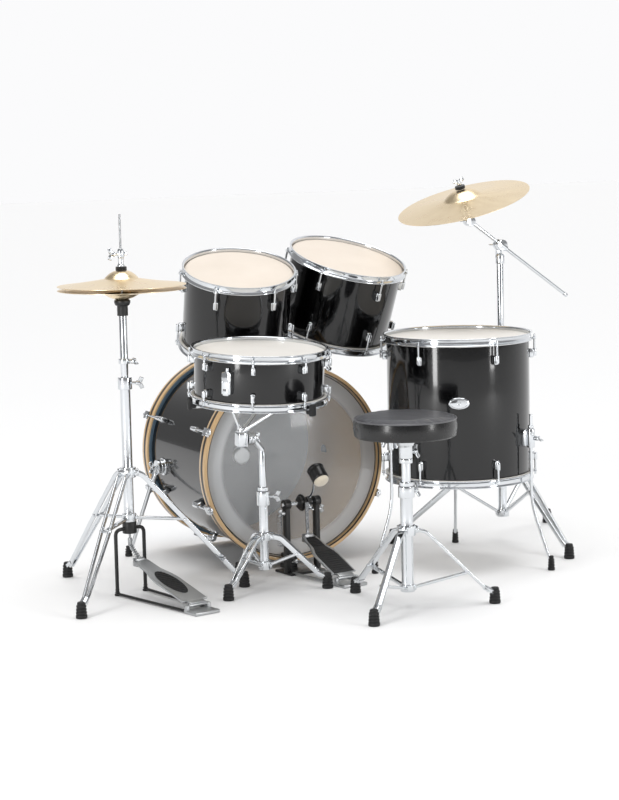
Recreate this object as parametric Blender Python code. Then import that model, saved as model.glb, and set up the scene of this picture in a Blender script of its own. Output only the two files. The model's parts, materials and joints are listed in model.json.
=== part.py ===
"""Acoustic drum kit: bass drum, two rack toms, floor tom, snare, hi-hat, crash and throne.

Metres, +Z up. The bass drum's axis runs along Y and the drummer sits on the -Y side. The kit's
origin is the middle of its footprint, on the floor.
"""

import math

import bmesh
import bpy
from mathutils import Euler, Matrix, Vector

INCH = 0.0254
GAP = 0.0003  # between pieces that rest on each other
ROUND = 20  # sides of a cymbal
BASS_ROUND = 24
TUBE = 8  # sides of a tube or collar
THIN = 5  # sides of a rod

# Shells, heads and hoops
SHELL_WALL = 0.007
SHELL_UNDERSIZE = 0.0015  # a shell is a little smaller than its nominal radius
FILM = 0.0012
COLLAR_IN = 0.0005  # head collar, outside the shell
COLLAR_OUT = 0.0027
FLESH_OUT = 0.0077
FLESH_TOP = 0.0078  # below the film
FLESH_BOTTOM = 0.0135
RIM_ABOVE_FILM = 0.010
RIM_WALL_IN = 0.0032
RIM_WALL_OUT = 0.0055
RIM_FLARE = 0.0105
SKIRT_IN = 0.0080
SKIRT_OUT = 0.0120
ROD_REACH = 0.0150  # tension rod's axis, outside the shell
ROD_RADIUS = 0.003
EAR_OUT = 0.0200  # outside the shell
EAR_WIDTH = 0.012
LUG_WIDTH = 0.014
LUG_DEPTH = 0.0185

# Nominal drum sizes
BASS_DIAMETER = 22 * INCH
BASS_DEPTH = 17.5 * INCH
TOM_12_DIAMETER = 12 * INCH
TOM_12_DEPTH = 9 * INCH
TOM_13_DIAMETER = 13 * INCH
TOM_13_DEPTH = 9 * INCH
FLOOR_TOM_DIAMETER = 16 * INCH
FLOOR_TOM_DEPTH = 16 * INCH
SNARE_DIAMETER = 14 * INCH
SNARE_DEPTH = 5 * INCH
HAT_DIAMETER = 14 * INCH
CRASH_DIAMETER = 16 * INCH

# Bass drum
BASS_UNDERSIZE = 0.004
BASS_FLOOR_GAP = 0.016
BASS_HOOP_IN = 0.0032  # outside the shell
BASS_HOOP_OUT = 0.0148
BASS_HOOP_WIDTH = 0.038
BASS_HEAD_INSET = 0.0145
BASS_FLESH_OUT = 0.0090
BASS_LUGS = 8
BASS_FIRST_LUG = 22.5
BASS_LUG_START = 0.085
BASS_LUG_LENGTH = 0.042
CLAW_OUT = 0.0285
SPUR_INSET = 0.130  # from the front head's edge
SPUR_DROP = 0.030
SPUR_BOSS_RADIUS = 0.022
SPUR_REACH = Vector((0.078, 0.065))  # foot, outwards and forwards of the boss
SPUR_RADIUS = 0.006

# Tom holder and toms
HOLDER_Y = 0.285
HOLDER_X = (0.0, 0.050)
HOLDER_HEIGHT = 0.052
ARM_RADIUS = 0.0095
RATCHET_RADIUS = 0.016
RATCHET_HALF = 0.007
TOM_12_CLEARANCE = 0.001  # lowest rim above the bass drum's hoop
TOM_12_REACH = 0.0583
TOM_12_BEARING = -125.0
TOM_12_PAD_TURN = 4.0
TOM_12_TILT = (17.4, -2.9)
TOM_12_PIVOT_HEIGHT = -0.030
TOM_13_CLEARANCE = 0.007
TOM_13_REACH = 0.0627
TOM_13_BEARING = -26.4
TOM_13_PAD_TURN = -14.0
TOM_13_TILT = (17.3, 6.2)
TOM_13_PIVOT_HEIGHT = -0.030
TOM_12_FIRST_LUG = 43.0
TOM_13_FIRST_LUG = 40.5
TOM_LUGS = 6
TOM_LUG_DROP = 0.040
TOM_LUG_LENGTH = 0.028

# Floor tom
FLOOR_TOM_TOP = 0.682
FLOOR_TOM_Y = -0.195
FLOOR_TOM_NEST = 0.0640  # how far it tucks in beside the bass drum
FLOOR_TOM_FIRST_LUG = 30.0
FLOOR_LEG_ANGLES = {"right": -57.0, "back": 63.0, "left": 183.0}
FLOOR_LEG_OUT = 0.0248
FLOOR_LEG_RADIUS = 0.0047
FLOOR_LEG_FOOT = 0.086  # foot's radius outside the shell
FLOOR_LEG_TOP = 0.450
FLOOR_LEG_BEND = 0.190
FLOOR_BRACKET = (0.355, 0.410)
TIP_RADIUS = 0.010

# Snare drum and its stand
SNARE_X = -0.212
SNARE_TOP = 0.684
SNARE_BASS_CLEARANCE = 0.043
SNARE_TILT = 3.0
SNARE_LUGS = 8
SNARE_FIRST_LUG = 15.0
SNARE_LUG_DROP = 0.020
SNARE_LUG_LENGTH = 0.024
THROW_OFF_ANGLE = 217.5
BASKET_ARMS = (52.5, 172.5, 292.5)
BASKET_ARM_RADIUS = 0.006
HUB_OFFSET = 0.058
HUB_HEIGHT = 0.430
SNARE_STAND_FEET = 0.176
SNARE_STAND_ANGLE = -30.0
SNARE_TUBE_RADIUS = 0.0125
SNARE_POST_RADIUS = 0.0095

# Hi-hat
HAT_PLACE = Vector((-0.560, -0.090, 0.0))
HAT_EDGE = 0.860
HAT_REST_GAP = 0.010
HAT_BOW = 0.018
HAT_BELL = 0.022
HAT_LOWER_BOW = 0.012
HAT_LOWER_BELL = 0.014
CYMBAL_THICK = 0.0012
CYMBAL_HOLE = 0.006
HAT_ROD_RADIUS = 0.003
HAT_ROD_TOP = 1.061
HAT_TUBE_RADIUS = 0.0140
HAT_INNER_RADIUS = 0.0110
HAT_TUBE_BOTTOM = 0.205
HAT_COLLAR_TOP = 0.610
HAT_FEET = 0.320
HAT_STAND_ANGLE = -16.2
HAT_PEDAL_YAW = 12.0

# Crash cymbal and its boom stand
BOOM_STAND_CLEARANCE = 0.0440
BOOM_STAND_Y = 0.010
BOOM_FEET = 0.340
BOOM_STAND_ANGLE = -86.0
BOOM_TUBE_RADIUS = 0.0135
BOOM_POST_RADIUS = 0.0105
BOOM_COLLAR_TOP = 0.600
BOOM_PIVOT = 0.9156
BOOM_SLOPE = 35.5
BOOM_FRONT = 0.131  # clamp to tilter
BOOM_BACK = 0.281  # clamp to the free end
BOOM_ARM_RADIUS = 0.0055
BOOM_ARM_SIDE = -0.0090  # arm's axis beside the tube's axis
CLAMP_RADIUS = 0.017
CRASH_LEAN = Vector((-0.304, -0.077, 1.0)).normalized()
CRASH_EDGE = 0.060  # rim's plane above the tilter's pivot
CRASH_BOW = 0.018
CRASH_BELL = 0.022

# Throne
THRONE_PLACE = Vector((0.018, -0.648, 0.0))
SEAT_TOP = 0.5225
SEAT_THICK = 0.058
SEAT_RADIUS = 0.140
THRONE_FEET = 0.237
THRONE_ANGLE = -20.6
THRONE_TUBE_RADIUS = 0.0165
THRONE_POST_RADIUS = 0.0125

# Pedals
PEDAL_PLACE = Vector((-0.035, 0.0, 0.0))
PEDAL_YAW = 8.0
BEATER_AXLE = (-0.085, 0.205)  # y and z in the pedal's frame
BEATER_REACH = 0.130
BEATER_BACK = 45.0
CAM_RADIUS = 0.025
BOARD_HEEL = (-0.305, 0.020)
BOARD_LENGTH = 0.220
BOARD_ANGLE = 24.0
HAT_BOARD_HEEL = (-0.320, 0.020)
HAT_BOARD_LENGTH = 0.300
HAT_BOARD_ANGLE = 15.0
BOARD_WIDTH = 0.080
TOE_INSET = 0.012
TOE_TOP = 0.014

# Colour, metallic and roughness of each finish
FINISHES = {
    "lacquer": ((0.010, 0.010, 0.012), 0.0, 0.08),
    "chrome": ((0.80, 0.81, 0.83), 1.0, 0.10),
    "coated head": ((0.86, 0.80, 0.71), 0.0, 0.45),
    "white head": ((0.88, 0.86, 0.82), 0.0, 0.40),
    "clear head": ((0.55, 0.50, 0.45), 0.0, 0.20),
    "dark head": ((0.05, 0.06, 0.07), 0.0, 0.25),
    "maple": ((0.72, 0.50, 0.29), 0.0, 0.30),
    "bronze": ((0.86, 0.68, 0.42), 1.0, 0.22),
    "black steel": ((0.02, 0.02, 0.02), 0.6, 0.35),
    "cast aluminium": ((0.60, 0.60, 0.61), 1.0, 0.35),
    "vinyl": ((0.03, 0.03, 0.035), 0.0, 0.45),
    "steel": ((0.55, 0.56, 0.58), 1.0, 0.25),
}


def clear_scene():
    for old in list(bpy.data.objects):
        bpy.data.objects.remove(old, do_unlink=True)


def polar(radius, degrees, height=0.0):
    angle = math.radians(degrees)
    return Vector((radius * math.cos(angle), radius * math.sin(angle), height))


def aim(at, axis=(0, 0, 1)):
    """The matrix that carries +Z onto the axis and the origin to a point."""
    turn = Vector((0, 0, 1)).rotation_difference(Vector(axis))
    return Matrix.Translation(at) @ turn.to_matrix().to_4x4()


def shape_of(bm, matrix=None):
    """A helper object from a closed bmesh, turned the right way out."""
    bmesh.ops.recalc_face_normals(bm, faces=bm.faces)
    mesh = bpy.data.meshes.new("shape")
    bm.to_mesh(mesh)
    bm.free()
    if matrix is not None:
        mesh.transform(matrix)
    return bpy.data.objects.new("shape", mesh)


def turned(profile, sides, at=(0, 0, 0), axis=(0, 0, 1), ring=False, first=0.0):
    """A turned solid. Profile points are (radius, height); a ring's profile closes on itself."""
    bm = bmesh.new()
    steps = [first + 360.0 * k / sides for k in range(sides)]
    rings = []
    for radius, height in profile:
        angles = steps if radius > 1e-6 else steps[:1]
        rings.append([bm.verts.new(polar(radius, a, height)) for a in angles])
    pairs = list(zip(rings, rings[1:]))
    if ring:
        pairs.append((rings[-1], rings[0]))
    for low, high in pairs:
        for k in range(sides):
            n = k + 1
            corners = [low[k % len(low)], low[n % len(low)], high[n % len(high)], high[k % len(high)]]
            bm.faces.new(list(dict.fromkeys(corners)))
    return shape_of(bm, aim(at, axis))


def disc(radius, start, end, sides=TUBE, at=(0, 0, 0), axis=(0, 0, 1), first=0.0):
    """A plain cylinder from one distance along its axis to another."""
    profile = [(0, start), (radius, start), (radius, end), (0, end)]
    return turned(profile, sides, at, axis, first=first)


def block(size, at, turn=(0, 0, 0)):
    """A box of a size about a point, turned by angles in degrees."""
    bm = bmesh.new()
    bmesh.ops.create_cube(bm, size=1.0)
    angles = Euler([math.radians(a) for a in turn])
    place = Matrix.Translation(at) @ angles.to_matrix().to_4x4() @ Matrix.Diagonal((*size, 1))
    return shape_of(bm, place)


def bar(points, radius=None, sides=THIN, section=None, side=None):
    """A rod or, with a (width, depth) section, a flat bar along points, with mitred bends."""
    points = [Vector(p) for p in points]
    ways = [(b - a).normalized() for a, b in zip(points, points[1:])]
    across = Vector(side) if side else ways[0].cross(Vector((0, 0, 1)))
    if across.length < 1e-6:
        across = Vector((1, 0, 0))
    across = (across - ways[0] * across.dot(ways[0])).normalized()
    up = ways[0].cross(across)
    if section:
        width, depth = section[0] / 2, section[1] / 2
        corners = [(width, depth), (-width, depth), (-width, -depth), (width, -depth)]
    else:
        corners = [polar(radius, 360.0 * k / sides)[:2] for k in range(sides)]
    spots = [points[0] + across * x + up * y for x, y in corners]
    bm = bmesh.new()
    rings = [[bm.verts.new(p) for p in spots]]
    for k, way in enumerate(ways):
        plane = (way + ways[k + 1]).normalized() if k + 1 < len(ways) else way
        target = points[k + 1]
        spots = [p + way * ((target - p).dot(plane) / way.dot(plane)) for p in spots]
        rings.append([bm.verts.new(p) for p in spots])
    count = len(corners)
    for low, high in zip(rings, rings[1:]):
        for k in range(count):
            n = (k + 1) % count
            bm.faces.new((low[k], low[n], high[n], high[k]))
    bm.faces.new(rings[0])
    bm.faces.new(rings[-1])
    return shape_of(bm)


def carried(shape, matrix):
    """The shape moved by a matrix."""
    shape.data.transform(matrix)
    return shape


def frame(name, parent=None, at=(0, 0, 0), turn=(0, 0, 0)):
    """An empty that carries an assembly, turned by angles in degrees."""
    empty = bpy.data.objects.new(name, None)
    bpy.context.scene.collection.objects.link(empty)
    empty.parent = parent
    empty.location = at
    empty.rotation_euler = [math.radians(a) for a in turn]
    return empty


def matrix_of(at, turn=(0, 0, 0)):
    angles = Euler([math.radians(a) for a in turn])
    return Matrix.Translation(at) @ angles.to_matrix().to_4x4()


def painted(name, finish):
    colour, metallic, roughness = FINISHES[finish]
    material = bpy.data.materials.new(name)
    material.use_nodes = True
    shader = material.node_tree.nodes["Principled BSDF"]
    shader.inputs["Base Color"].default_value = (*colour, 1.0)
    shader.inputs["Metallic"].default_value = metallic
    shader.inputs["Roughness"].default_value = roughness
    return material


def boolean(target, shapes, operation):
    """Adds one exact Boolean that joins or cuts all the shapes."""
    group = bpy.data.collections.new(operation.lower())
    for shape in shapes:
        group.objects.link(shape)
    modifier = target.modifiers.new(operation.lower(), "BOOLEAN")
    modifier.operation = operation
    modifier.solver = "EXACT"
    modifier.operand_type = "COLLECTION"
    modifier.collection = group
    return group


def make(name, finish, parent, shapes, cuts=(), pivot=(0, 0, 0)):
    """One named solid: its shapes joined, its cuts taken out and its origin on the pivot."""
    body = shapes[0]
    bpy.context.scene.collection.objects.link(body)
    groups = []
    if shapes[1:]:
        groups.append(boolean(body, shapes[1:], "UNION"))
    for cut in cuts:
        groups.append(boolean(body, [cut], "DIFFERENCE"))
    bpy.context.view_layer.update()
    graph = bpy.context.evaluated_depsgraph_get()
    mesh = bpy.data.meshes.new_from_object(body.evaluated_get(graph), depsgraph=graph)
    for helper in [*shapes, *cuts]:
        bpy.data.objects.remove(helper, do_unlink=True)
    for group in groups:
        bpy.data.collections.remove(group)
    mesh.transform(Matrix.Translation(-Vector(pivot)))
    mesh.shade_smooth()
    mesh.set_sharp_from_angle(angle=math.radians(40))
    mesh.materials.clear()
    mesh.materials.append(painted(name, finish))
    mesh.name = name
    node = bpy.data.objects.new(name, mesh)
    bpy.context.scene.collection.objects.link(node)
    node.parent = parent
    node.location = pivot
    return node


# Drums with steel hoops


def rim_height(depth):
    """Half of a drum's height over its two rims."""
    return depth / 2 + GAP + FILM + RIM_ABOVE_FILM


def sides_of(lugs):
    """Sides of a drum's rings, so that every lug falls on a corner."""
    return lugs * 3 if lugs < 8 else lugs * 2


def head_shape(radius, depth, way, sides, first):
    """A plastic film on the shell's edge, its collar down the side and its flesh hoop."""
    film = depth / 2 + GAP + FILM
    profile = [
        (0, film),
        (radius + COLLAR_OUT - 0.0015, film),
        (radius + COLLAR_OUT, film - 0.002),
        (radius + COLLAR_OUT, film - FLESH_TOP),
        (radius + FLESH_OUT, film - FLESH_TOP),
        (radius + FLESH_OUT, film - FLESH_BOTTOM),
        (radius + COLLAR_IN, film - FLESH_BOTTOM),
        (radius + COLLAR_IN, film - FILM),
        (0, film - FILM),
    ]
    return turned([(r, way * h) for r, h in profile], sides, first=first)


def rim_shapes(radius, depth, way, angles, lug_drop, sides):
    """A pressed steel hoop with an ear for each tension rod, and the rods down to the lugs."""
    film = depth / 2 + GAP + FILM
    profile = [
        (radius + SKIRT_IN, film - FLESH_BOTTOM + 0.001),
        (radius + SKIRT_OUT, film - FLESH_BOTTOM + 0.001),
        (radius + SKIRT_OUT, film - 0.0085),
        (radius + RIM_WALL_OUT, film - 0.0060),
        (radius + RIM_FLARE, film + RIM_ABOVE_FILM),
        (radius + RIM_WALL_IN, film + RIM_ABOVE_FILM),
        (radius + RIM_WALL_IN, film - FLESH_TOP + GAP),
        (radius + SKIRT_IN, film - FLESH_TOP + GAP),
    ]
    shapes = [turned([(r, way * h) for r, h in profile], sides, ring=True, first=angles[0])]
    deep = EAR_OUT - SKIRT_OUT + 0.002
    for angle in angles:
        spot = polar(radius + EAR_OUT - deep / 2, angle, way * (film - 0.0105))
        shapes.append(block((deep, EAR_WIDTH, 0.0034), spot, (0, 0, angle)))
        low, high = sorted((way * (film - lug_drop + GAP), way * (film - 0.0105)))
        spot = polar(radius + ROD_REACH, angle)
        shapes.append(disc(ROD_RADIUS, low, high, THIN, at=spot, first=angle))
    return shapes


def lug_shapes(radius, depth, angles, lug_drop, lug_length):
    """A small box lug under each tension rod, top and bottom."""
    film = depth / 2 + GAP + FILM
    shapes = []
    for angle in angles:
        for way in (1, -1):
            height = way * (film - lug_drop - lug_length / 2)
            spot = polar(radius + LUG_DEPTH / 2 - 0.004, angle, height)
            shapes.append(block((LUG_DEPTH + 0.004, LUG_WIDTH, lug_length), spot, (0, 0, angle)))
    return shapes


def drum(prefix, place, radius, depth, lugs, first_lug, drop, length, skin, extra=(), cuts=()):
    """A shell with its lugs, two heads and two hoops, in a frame at the shell's middle."""
    angles = [first_lug + 360.0 * k / lugs for k in range(lugs)]
    inner = radius - SHELL_WALL
    wall = [(radius, -depth / 2), (radius, depth / 2), (inner, depth / 2), (inner, -depth / 2)]
    sides = sides_of(lugs)
    shapes = [turned(wall, sides, ring=True, first=first_lug)]
    shapes += lug_shapes(radius, depth, angles, drop, length)
    make(prefix + "_shell", "lacquer", place, shapes + list(extra), cuts)
    for side, way, finish in (("top", 1, skin), ("bottom", -1, "white head")):
        make(f"{prefix}_{side}_head", finish, place, [head_shape(radius, depth, way, sides, first_lug)])
        rim = rim_shapes(radius, depth, way, angles, drop, sides)
        make(f"{prefix}_{side}_hoop", "chrome", place, rim)


# Stands


def tripod_shapes(feet, first, start, knee, foot_top, joint, brace, spread, strap):
    """Three legs of paired straps with rubber feet, and the braces up from the lower collar.

    start and knee are (radius, height) on a leg; joint is how far down the leg the brace meets
    it; brace is the lower collar's (radius, height); strap is a strap's (width, depth).
    """
    shapes = []
    for k in range(3):
        angle = first + 120.0 * k
        side = polar(1.0, angle + 90.0)
        top = [polar(start[0], angle, start[1]), polar(knee[0], angle, knee[1])]
        ankle = polar(feet - 0.020, angle, foot_top)
        meet = top[1].lerp(ankle, joint)
        offsets = (-spread / 2, spread / 2) if spread else (0.0,)
        for offset in offsets:
            path = [p + side * offset for p in (*top, ankle)]
            shapes.append(bar(path, section=strap, side=side))
        if spread:
            across = [meet - side * (spread / 2 + 0.002), meet + side * (spread / 2 + 0.002)]
            shapes.append(bar(across, section=(0.010, 0.012), side=(0, 0, 1)))
        collar = polar(brace[0], angle, brace[1])
        shapes.append(bar([collar, meet], section=(0.012, 0.004), side=side))
        slope = (ankle - top[1]).normalized()
        toe = polar(feet, angle, 0.0)
        foot = [ankle - slope * 0.012, toe + Vector((0, 0, 0.012))]
        shapes.append(bar(foot, section=(spread + 0.012, 0.016), side=side))
        pad = [(0, 0), (0.015, 0), (0.012, 0.034), (0, 0.034)]
        shapes.append(turned(pad, THIN + 1, at=toe, first=angle))
    return shapes


def sleeve(outline, bore, floor, sides=TUBE):
    """A turned tube with a blind bore open at its top. The outline runs up the outside."""
    top = outline[-1][1]
    profile = [(0, outline[0][1]), *outline, (bore, top), (bore, floor), (0, floor)]
    return turned(profile, sides)


def collared(radius, bottom, top, collars):
    """The outline of a tube with (bottom, top, radius) collars, lowest first."""
    outline = [(radius, bottom)]
    for low, high, size in collars:
        if low > bottom + 1e-6:
            outline.append((radius, low))
        else:
            outline.pop()
        outline += [(size, low), (size, high)]
        if high < top - 1e-6:
            outline.append((radius, high))
    if outline[-1][1] < top - 1e-6:
        outline.append((radius, top))
    return outline


def cymbal_profile(radius, bell, bow_rise, bell_rise, way=1):
    """A thin bowed plate with a raised bell, its rim's lower face at height 0."""
    upper = []
    for share in (1.0, 0.66):
        run = (1.0 - share) / (1.0 - bell / radius)
        upper.append((radius * share, bow_rise * run**0.8))
    upper.append((bell, bow_rise))
    upper.append((bell * 0.55, bow_rise + bell_rise * 0.85))
    upper.append((CYMBAL_HOLE, bow_rise + bell_rise))
    lower = [(r, h - CYMBAL_THICK) for r, h in reversed(upper)]
    return [(r, way * h) for r, h in upper + lower]


def wing_bolt(at, axis, spread, reach):
    """A short stem with a flat wing across it."""
    stem = disc(0.004, 0.0, reach, THIN, at=at, axis=axis)
    wing = carried(block((spread, 0.004, 0.012), (0, 0, reach)), aim(at, axis))
    return [stem, wing]


# The bass drum


def bass_radius():
    return BASS_DIAMETER / 2 - BASS_UNDERSIZE


def bass_hoop_radius():
    return bass_radius() + BASS_HOOP_OUT


def bass_axis_height():
    return bass_hoop_radius() + BASS_FLOOR_GAP


def bass_length():
    """Over the two hoops."""
    return BASS_DEPTH + 2 * (BASS_HEAD_INSET + FILM + GAP)


def bass_hoop_ring(grow=0.0):
    """The hoop's plain ring, from the batter side's outer plane."""
    inner = bass_radius() + BASS_HOOP_IN - grow
    outer = bass_hoop_radius() + grow
    width = BASS_HOOP_WIDTH + grow
    return [(outer, -grow), (outer, width), (inner, width), (inner, -grow)]


def spur_pivot(way):
    """The spur's hinge in the kit's frame, on the left (-1) or right (1) of the bass drum."""
    out = way * (bass_radius() + 0.017)
    return Vector((out, bass_length() - SPUR_INSET, bass_axis_height() - SPUR_DROP))


def bass_drum(kit):
    radius, length = bass_radius(), bass_length()
    centre = Vector((0, 0, bass_axis_height()))
    place = frame("bass_drum", kit, at=centre, turn=(-90, 0, 0))
    to_local = matrix_of(centre, (-90, 0, 0)).inverted()
    edge = BASS_HEAD_INSET + FILM + GAP
    inner = radius - SHELL_WALL
    angles = [BASS_FIRST_LUG + 360.0 * k / BASS_LUGS for k in range(BASS_LUGS)]
    wall = [(radius, edge), (radius, length - edge), (inner, length - edge), (inner, edge)]
    first = BASS_FIRST_LUG
    shapes = [turned(wall, BASS_ROUND, ring=True, first=first)]
    middle = BASS_LUG_START + BASS_LUG_LENGTH / 2
    for angle in angles:
        for height in (middle, length - middle):
            spot = polar(radius + 0.008, angle, height)
            shapes.append(block((0.030, 0.016, BASS_LUG_LENGTH), spot, (0, 0, angle)))
    for way in (-1, 1):
        pivot = spur_pivot(way)
        boss = disc(SPUR_BOSS_RADIUS, 0.005 + GAP, 0.024, TUBE, at=pivot, axis=(-way, 0, 0))
        shapes.append(carried(boss, to_local))
    make("bass_shell", "lacquer", place, shapes)

    head = [
        (0, BASS_HEAD_INSET),
        (radius + COLLAR_OUT, BASS_HEAD_INSET),
        (radius + COLLAR_OUT, BASS_HOOP_WIDTH + GAP),
        (radius + BASS_FLESH_OUT, BASS_HOOP_WIDTH + GAP),
        (radius + BASS_FLESH_OUT, BASS_HOOP_WIDTH + 0.007),
        (radius + COLLAR_IN, BASS_HOOP_WIDTH + 0.007),
        (radius + COLLAR_IN, BASS_HEAD_INSET + FILM),
        (0, BASS_HEAD_INSET + FILM),
    ]
    for side, flip, finish in (("batter", False, "clear head"), ("front", True, "dark head")):
        seen = [(r, length - h) for r, h in head] if flip else head
        make(f"bass_{side}_head", finish, place, [turned(seen, BASS_ROUND, first=first)])
        ring = bass_hoop_ring()
        if flip:
            ring = [(r, length - h) for r, h in ring]
        shapes = [turned(ring, BASS_ROUND, ring=True, first=first)]
        for angle in angles:
            hook, rod = (-0.003, 0.022), (0.010, BASS_LUG_START - GAP)
            if flip:
                hook, rod = [(length - high, length - low) for low, high in (hook, rod)]
            deep = CLAW_OUT - BASS_HOOP_OUT + 0.007
            spot = polar(radius + CLAW_OUT - deep / 2, angle, sum(hook) / 2)
            shapes.append(block((deep, 0.024, hook[1] - hook[0]), spot, (0, 0, angle)))
            spot = polar(radius + 0.0215, angle)
            shapes.append(disc(0.0034, *rod, THIN, at=spot, first=angle))
        make(f"bass_{side}_hoop", "maple", place, shapes)


def spur(kit, side, way):
    """A folding leg that holds up the front of the bass drum."""
    pivot = spur_pivot(way)
    out, forward = SPUR_REACH
    foot = Vector((pivot.x + way * out, pivot.y + forward, 0.0))
    centre = pivot + Vector((way * 0.0005, 0, 0))
    shapes = [
        disc(SPUR_BOSS_RADIUS, -0.0055, 0.0055, TUBE, at=centre, axis=(way, 0, 0)),
        bar([centre + Vector((way * 0.002, 0, 0)), foot + (centre - foot).normalized() * 0.010], SPUR_RADIUS),
        turned([(0, 0), (0.007, 0), (0.011, 0.008), (0.009, 0.030), (0, 0.030)], TUBE, at=foot),
    ]
    make(f"spur_{side}", "chrome", kit, shapes, pivot=pivot)


# The toms


def tom_holder(kit):
    """A base plate that follows the bass shell, with a socket for each tom arm."""
    top = bass_axis_height() + bass_radius()
    middle = sum(HOLDER_X) / 2
    shapes = [block((0.110, 0.070, 0.024), (middle, HOLDER_Y, top - 0.001))]
    cuts = []
    for x in HOLDER_X:
        shapes.append(disc(0.0155, top, top + HOLDER_HEIGHT, TUBE, at=(x, HOLDER_Y, 0)))
        cuts.append(disc(ARM_RADIUS + GAP, top + 0.004, top + 0.1, TUBE, at=(x, HOLDER_Y, 0)))
    shell = disc(bass_radius() + GAP, -0.2, 0.2, BASS_ROUND, first=BASS_FIRST_LUG)
    axis = matrix_of((0, HOLDER_Y, bass_axis_height()), (-90, 0, 0))
    cuts.append(carried(shell, axis))
    make("tom_holder_base", "chrome", kit, shapes, cuts)
    return top + 0.004 + GAP


def tom(kit, size, diameter, depth, post_x, clearance, bearing, reach, pad_turn, tilt, pivot_height,
        first_lug, foot):
    """A rack tom on its arm. The tilter's two toothed discs share an axis along X."""
    radius = diameter / 2 - SHELL_UNDERSIZE
    way = 1 if math.cos(math.radians(bearing)) > 0 else -1
    lean = matrix_of((0, 0, 0), (*tilt, 0))
    normal = lean @ Vector((0, 0, 1))
    half = rim_height(depth)
    drop = half * normal.z + (radius + RIM_FLARE) * math.sqrt(1 - normal.z**2)
    hoop_top = bass_axis_height() + bass_hoop_radius()
    middle = polar(radius + reach, bearing, hoop_top + clearance + drop)
    middle += Vector((post_x, HOLDER_Y, 0))
    pivot = Vector((post_x, HOLDER_Y, middle.z + pivot_height))

    tip = 0.012
    shoulder = pivot.z - RATCHET_RADIUS - 0.001
    shapes = [
        disc(ARM_RADIUS, foot, shoulder, TUBE, at=(post_x, HOLDER_Y, 0)),
        block((0.013, 0.014, 0.016), (post_x, HOLDER_Y, shoulder + 0.004)),
        disc(RATCHET_RADIUS, -RATCHET_HALF, RATCHET_HALF, TUBE, at=pivot, axis=(1, 0, 0)),
        *wing_bolt(pivot - Vector((way * RATCHET_HALF * 0.8, 0, 0)), (-way, 0, 0), 0.034, tip),
    ]
    make(f"tom_{size}_arm", "chrome", kit, shapes)

    tilting = frame(f"tom_{size}_tilt", kit, at=pivot)
    offset = middle - pivot
    place = frame(f"tom_{size}", tilting, at=offset, turn=(*tilt, 0))
    to_local = matrix_of(offset, (*tilt, 0)).inverted()
    start = way * (RATCHET_HALF + GAP)
    end = start + way * 2 * RATCHET_HALF
    plate = disc(RATCHET_RADIUS, *sorted((start, end)), TUBE, axis=(1, 0, 0))
    begin = to_local @ Vector(((start + end) / 2, 0, 0))
    facing = bearing + 180 + pad_turn
    seat = polar(radius - SHELL_WALL / 2, facing, begin.z * 0.9)
    pad = polar(radius + 0.002, facing, seat.z)
    extra = [
        carried(plate, to_local),
        bar([begin, seat], 0.0085, TUBE),
        block((0.012, 0.036, 0.044), pad, (0, 0, facing)),
    ]
    skin = "coated head"
    name = f"tom_{size}"
    args = (TOM_LUGS, first_lug, TOM_LUG_DROP, TOM_LUG_LENGTH, skin, extra)
    drum(name, place, radius, depth, *args)


# The floor tom


def floor_tom_centre():
    radius = FLOOR_TOM_DIAMETER / 2 - SHELL_UNDERSIZE
    x = bass_hoop_radius() + radius + EAR_OUT - FLOOR_TOM_NEST
    return Vector((x, FLOOR_TOM_Y, FLOOR_TOM_TOP - rim_height(FLOOR_TOM_DEPTH)))


def floor_tom(kit):
    radius = FLOOR_TOM_DIAMETER / 2 - SHELL_UNDERSIZE
    centre = floor_tom_centre()
    place = frame("floor_tom", kit, at=centre)
    low, high = [h - centre.z for h in FLOOR_BRACKET]
    extra, cuts = [], []
    for angle in FLOOR_LEG_ANGLES.values():
        spot = polar(radius + 0.016, angle, (low + high) / 2)
        extra.append(block((0.040, 0.030, high - low), spot, (0, 0, angle)))
        spot = polar(radius + FLOOR_LEG_OUT, angle)
        hole = FLOOR_LEG_RADIUS + 2 * GAP
        cuts.append(disc(hole, low - 0.01, high + 0.01, THIN, at=spot, first=angle))
    args = (TOM_LUGS, FLOOR_TOM_FIRST_LUG, TOM_LUG_DROP, TOM_LUG_LENGTH, "white head")
    drum("floor_tom", place, radius, FLOOR_TOM_DEPTH, *args, extra, cuts)

    for side, angle in FLOOR_LEG_ANGLES.items():
        upright = radius + FLOOR_LEG_OUT
        foot = radius + FLOOR_LEG_FOOT
        path = [
            polar(upright, angle, FLOOR_LEG_TOP),
            polar(upright, angle, FLOOR_LEG_BEND),
            polar(foot - 0.004, angle, 0.030),
        ]
        ground = Vector((centre.x, centre.y, 0))
        side_way = polar(1.0, angle)
        rod = bar([ground + p for p in path], FLOOR_LEG_RADIUS, THIN, side=side_way)
        pad = [(0, 0), (TIP_RADIUS, 0), (TIP_RADIUS * 0.8, 0.040), (0, 0.040)]
        tip = turned(pad, TUBE, at=ground + polar(foot, angle))
        make(f"floor_tom_leg_{side}", "chrome", kit, [rod, tip])


# The snare drum on its stand


def snare_radius():
    return SNARE_DIAMETER / 2 - SHELL_UNDERSIZE


def snare_place():
    y = -(snare_radius() + SKIRT_OUT + SNARE_BASS_CLEARANCE)
    return Vector((SNARE_X, y, 0))


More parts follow.
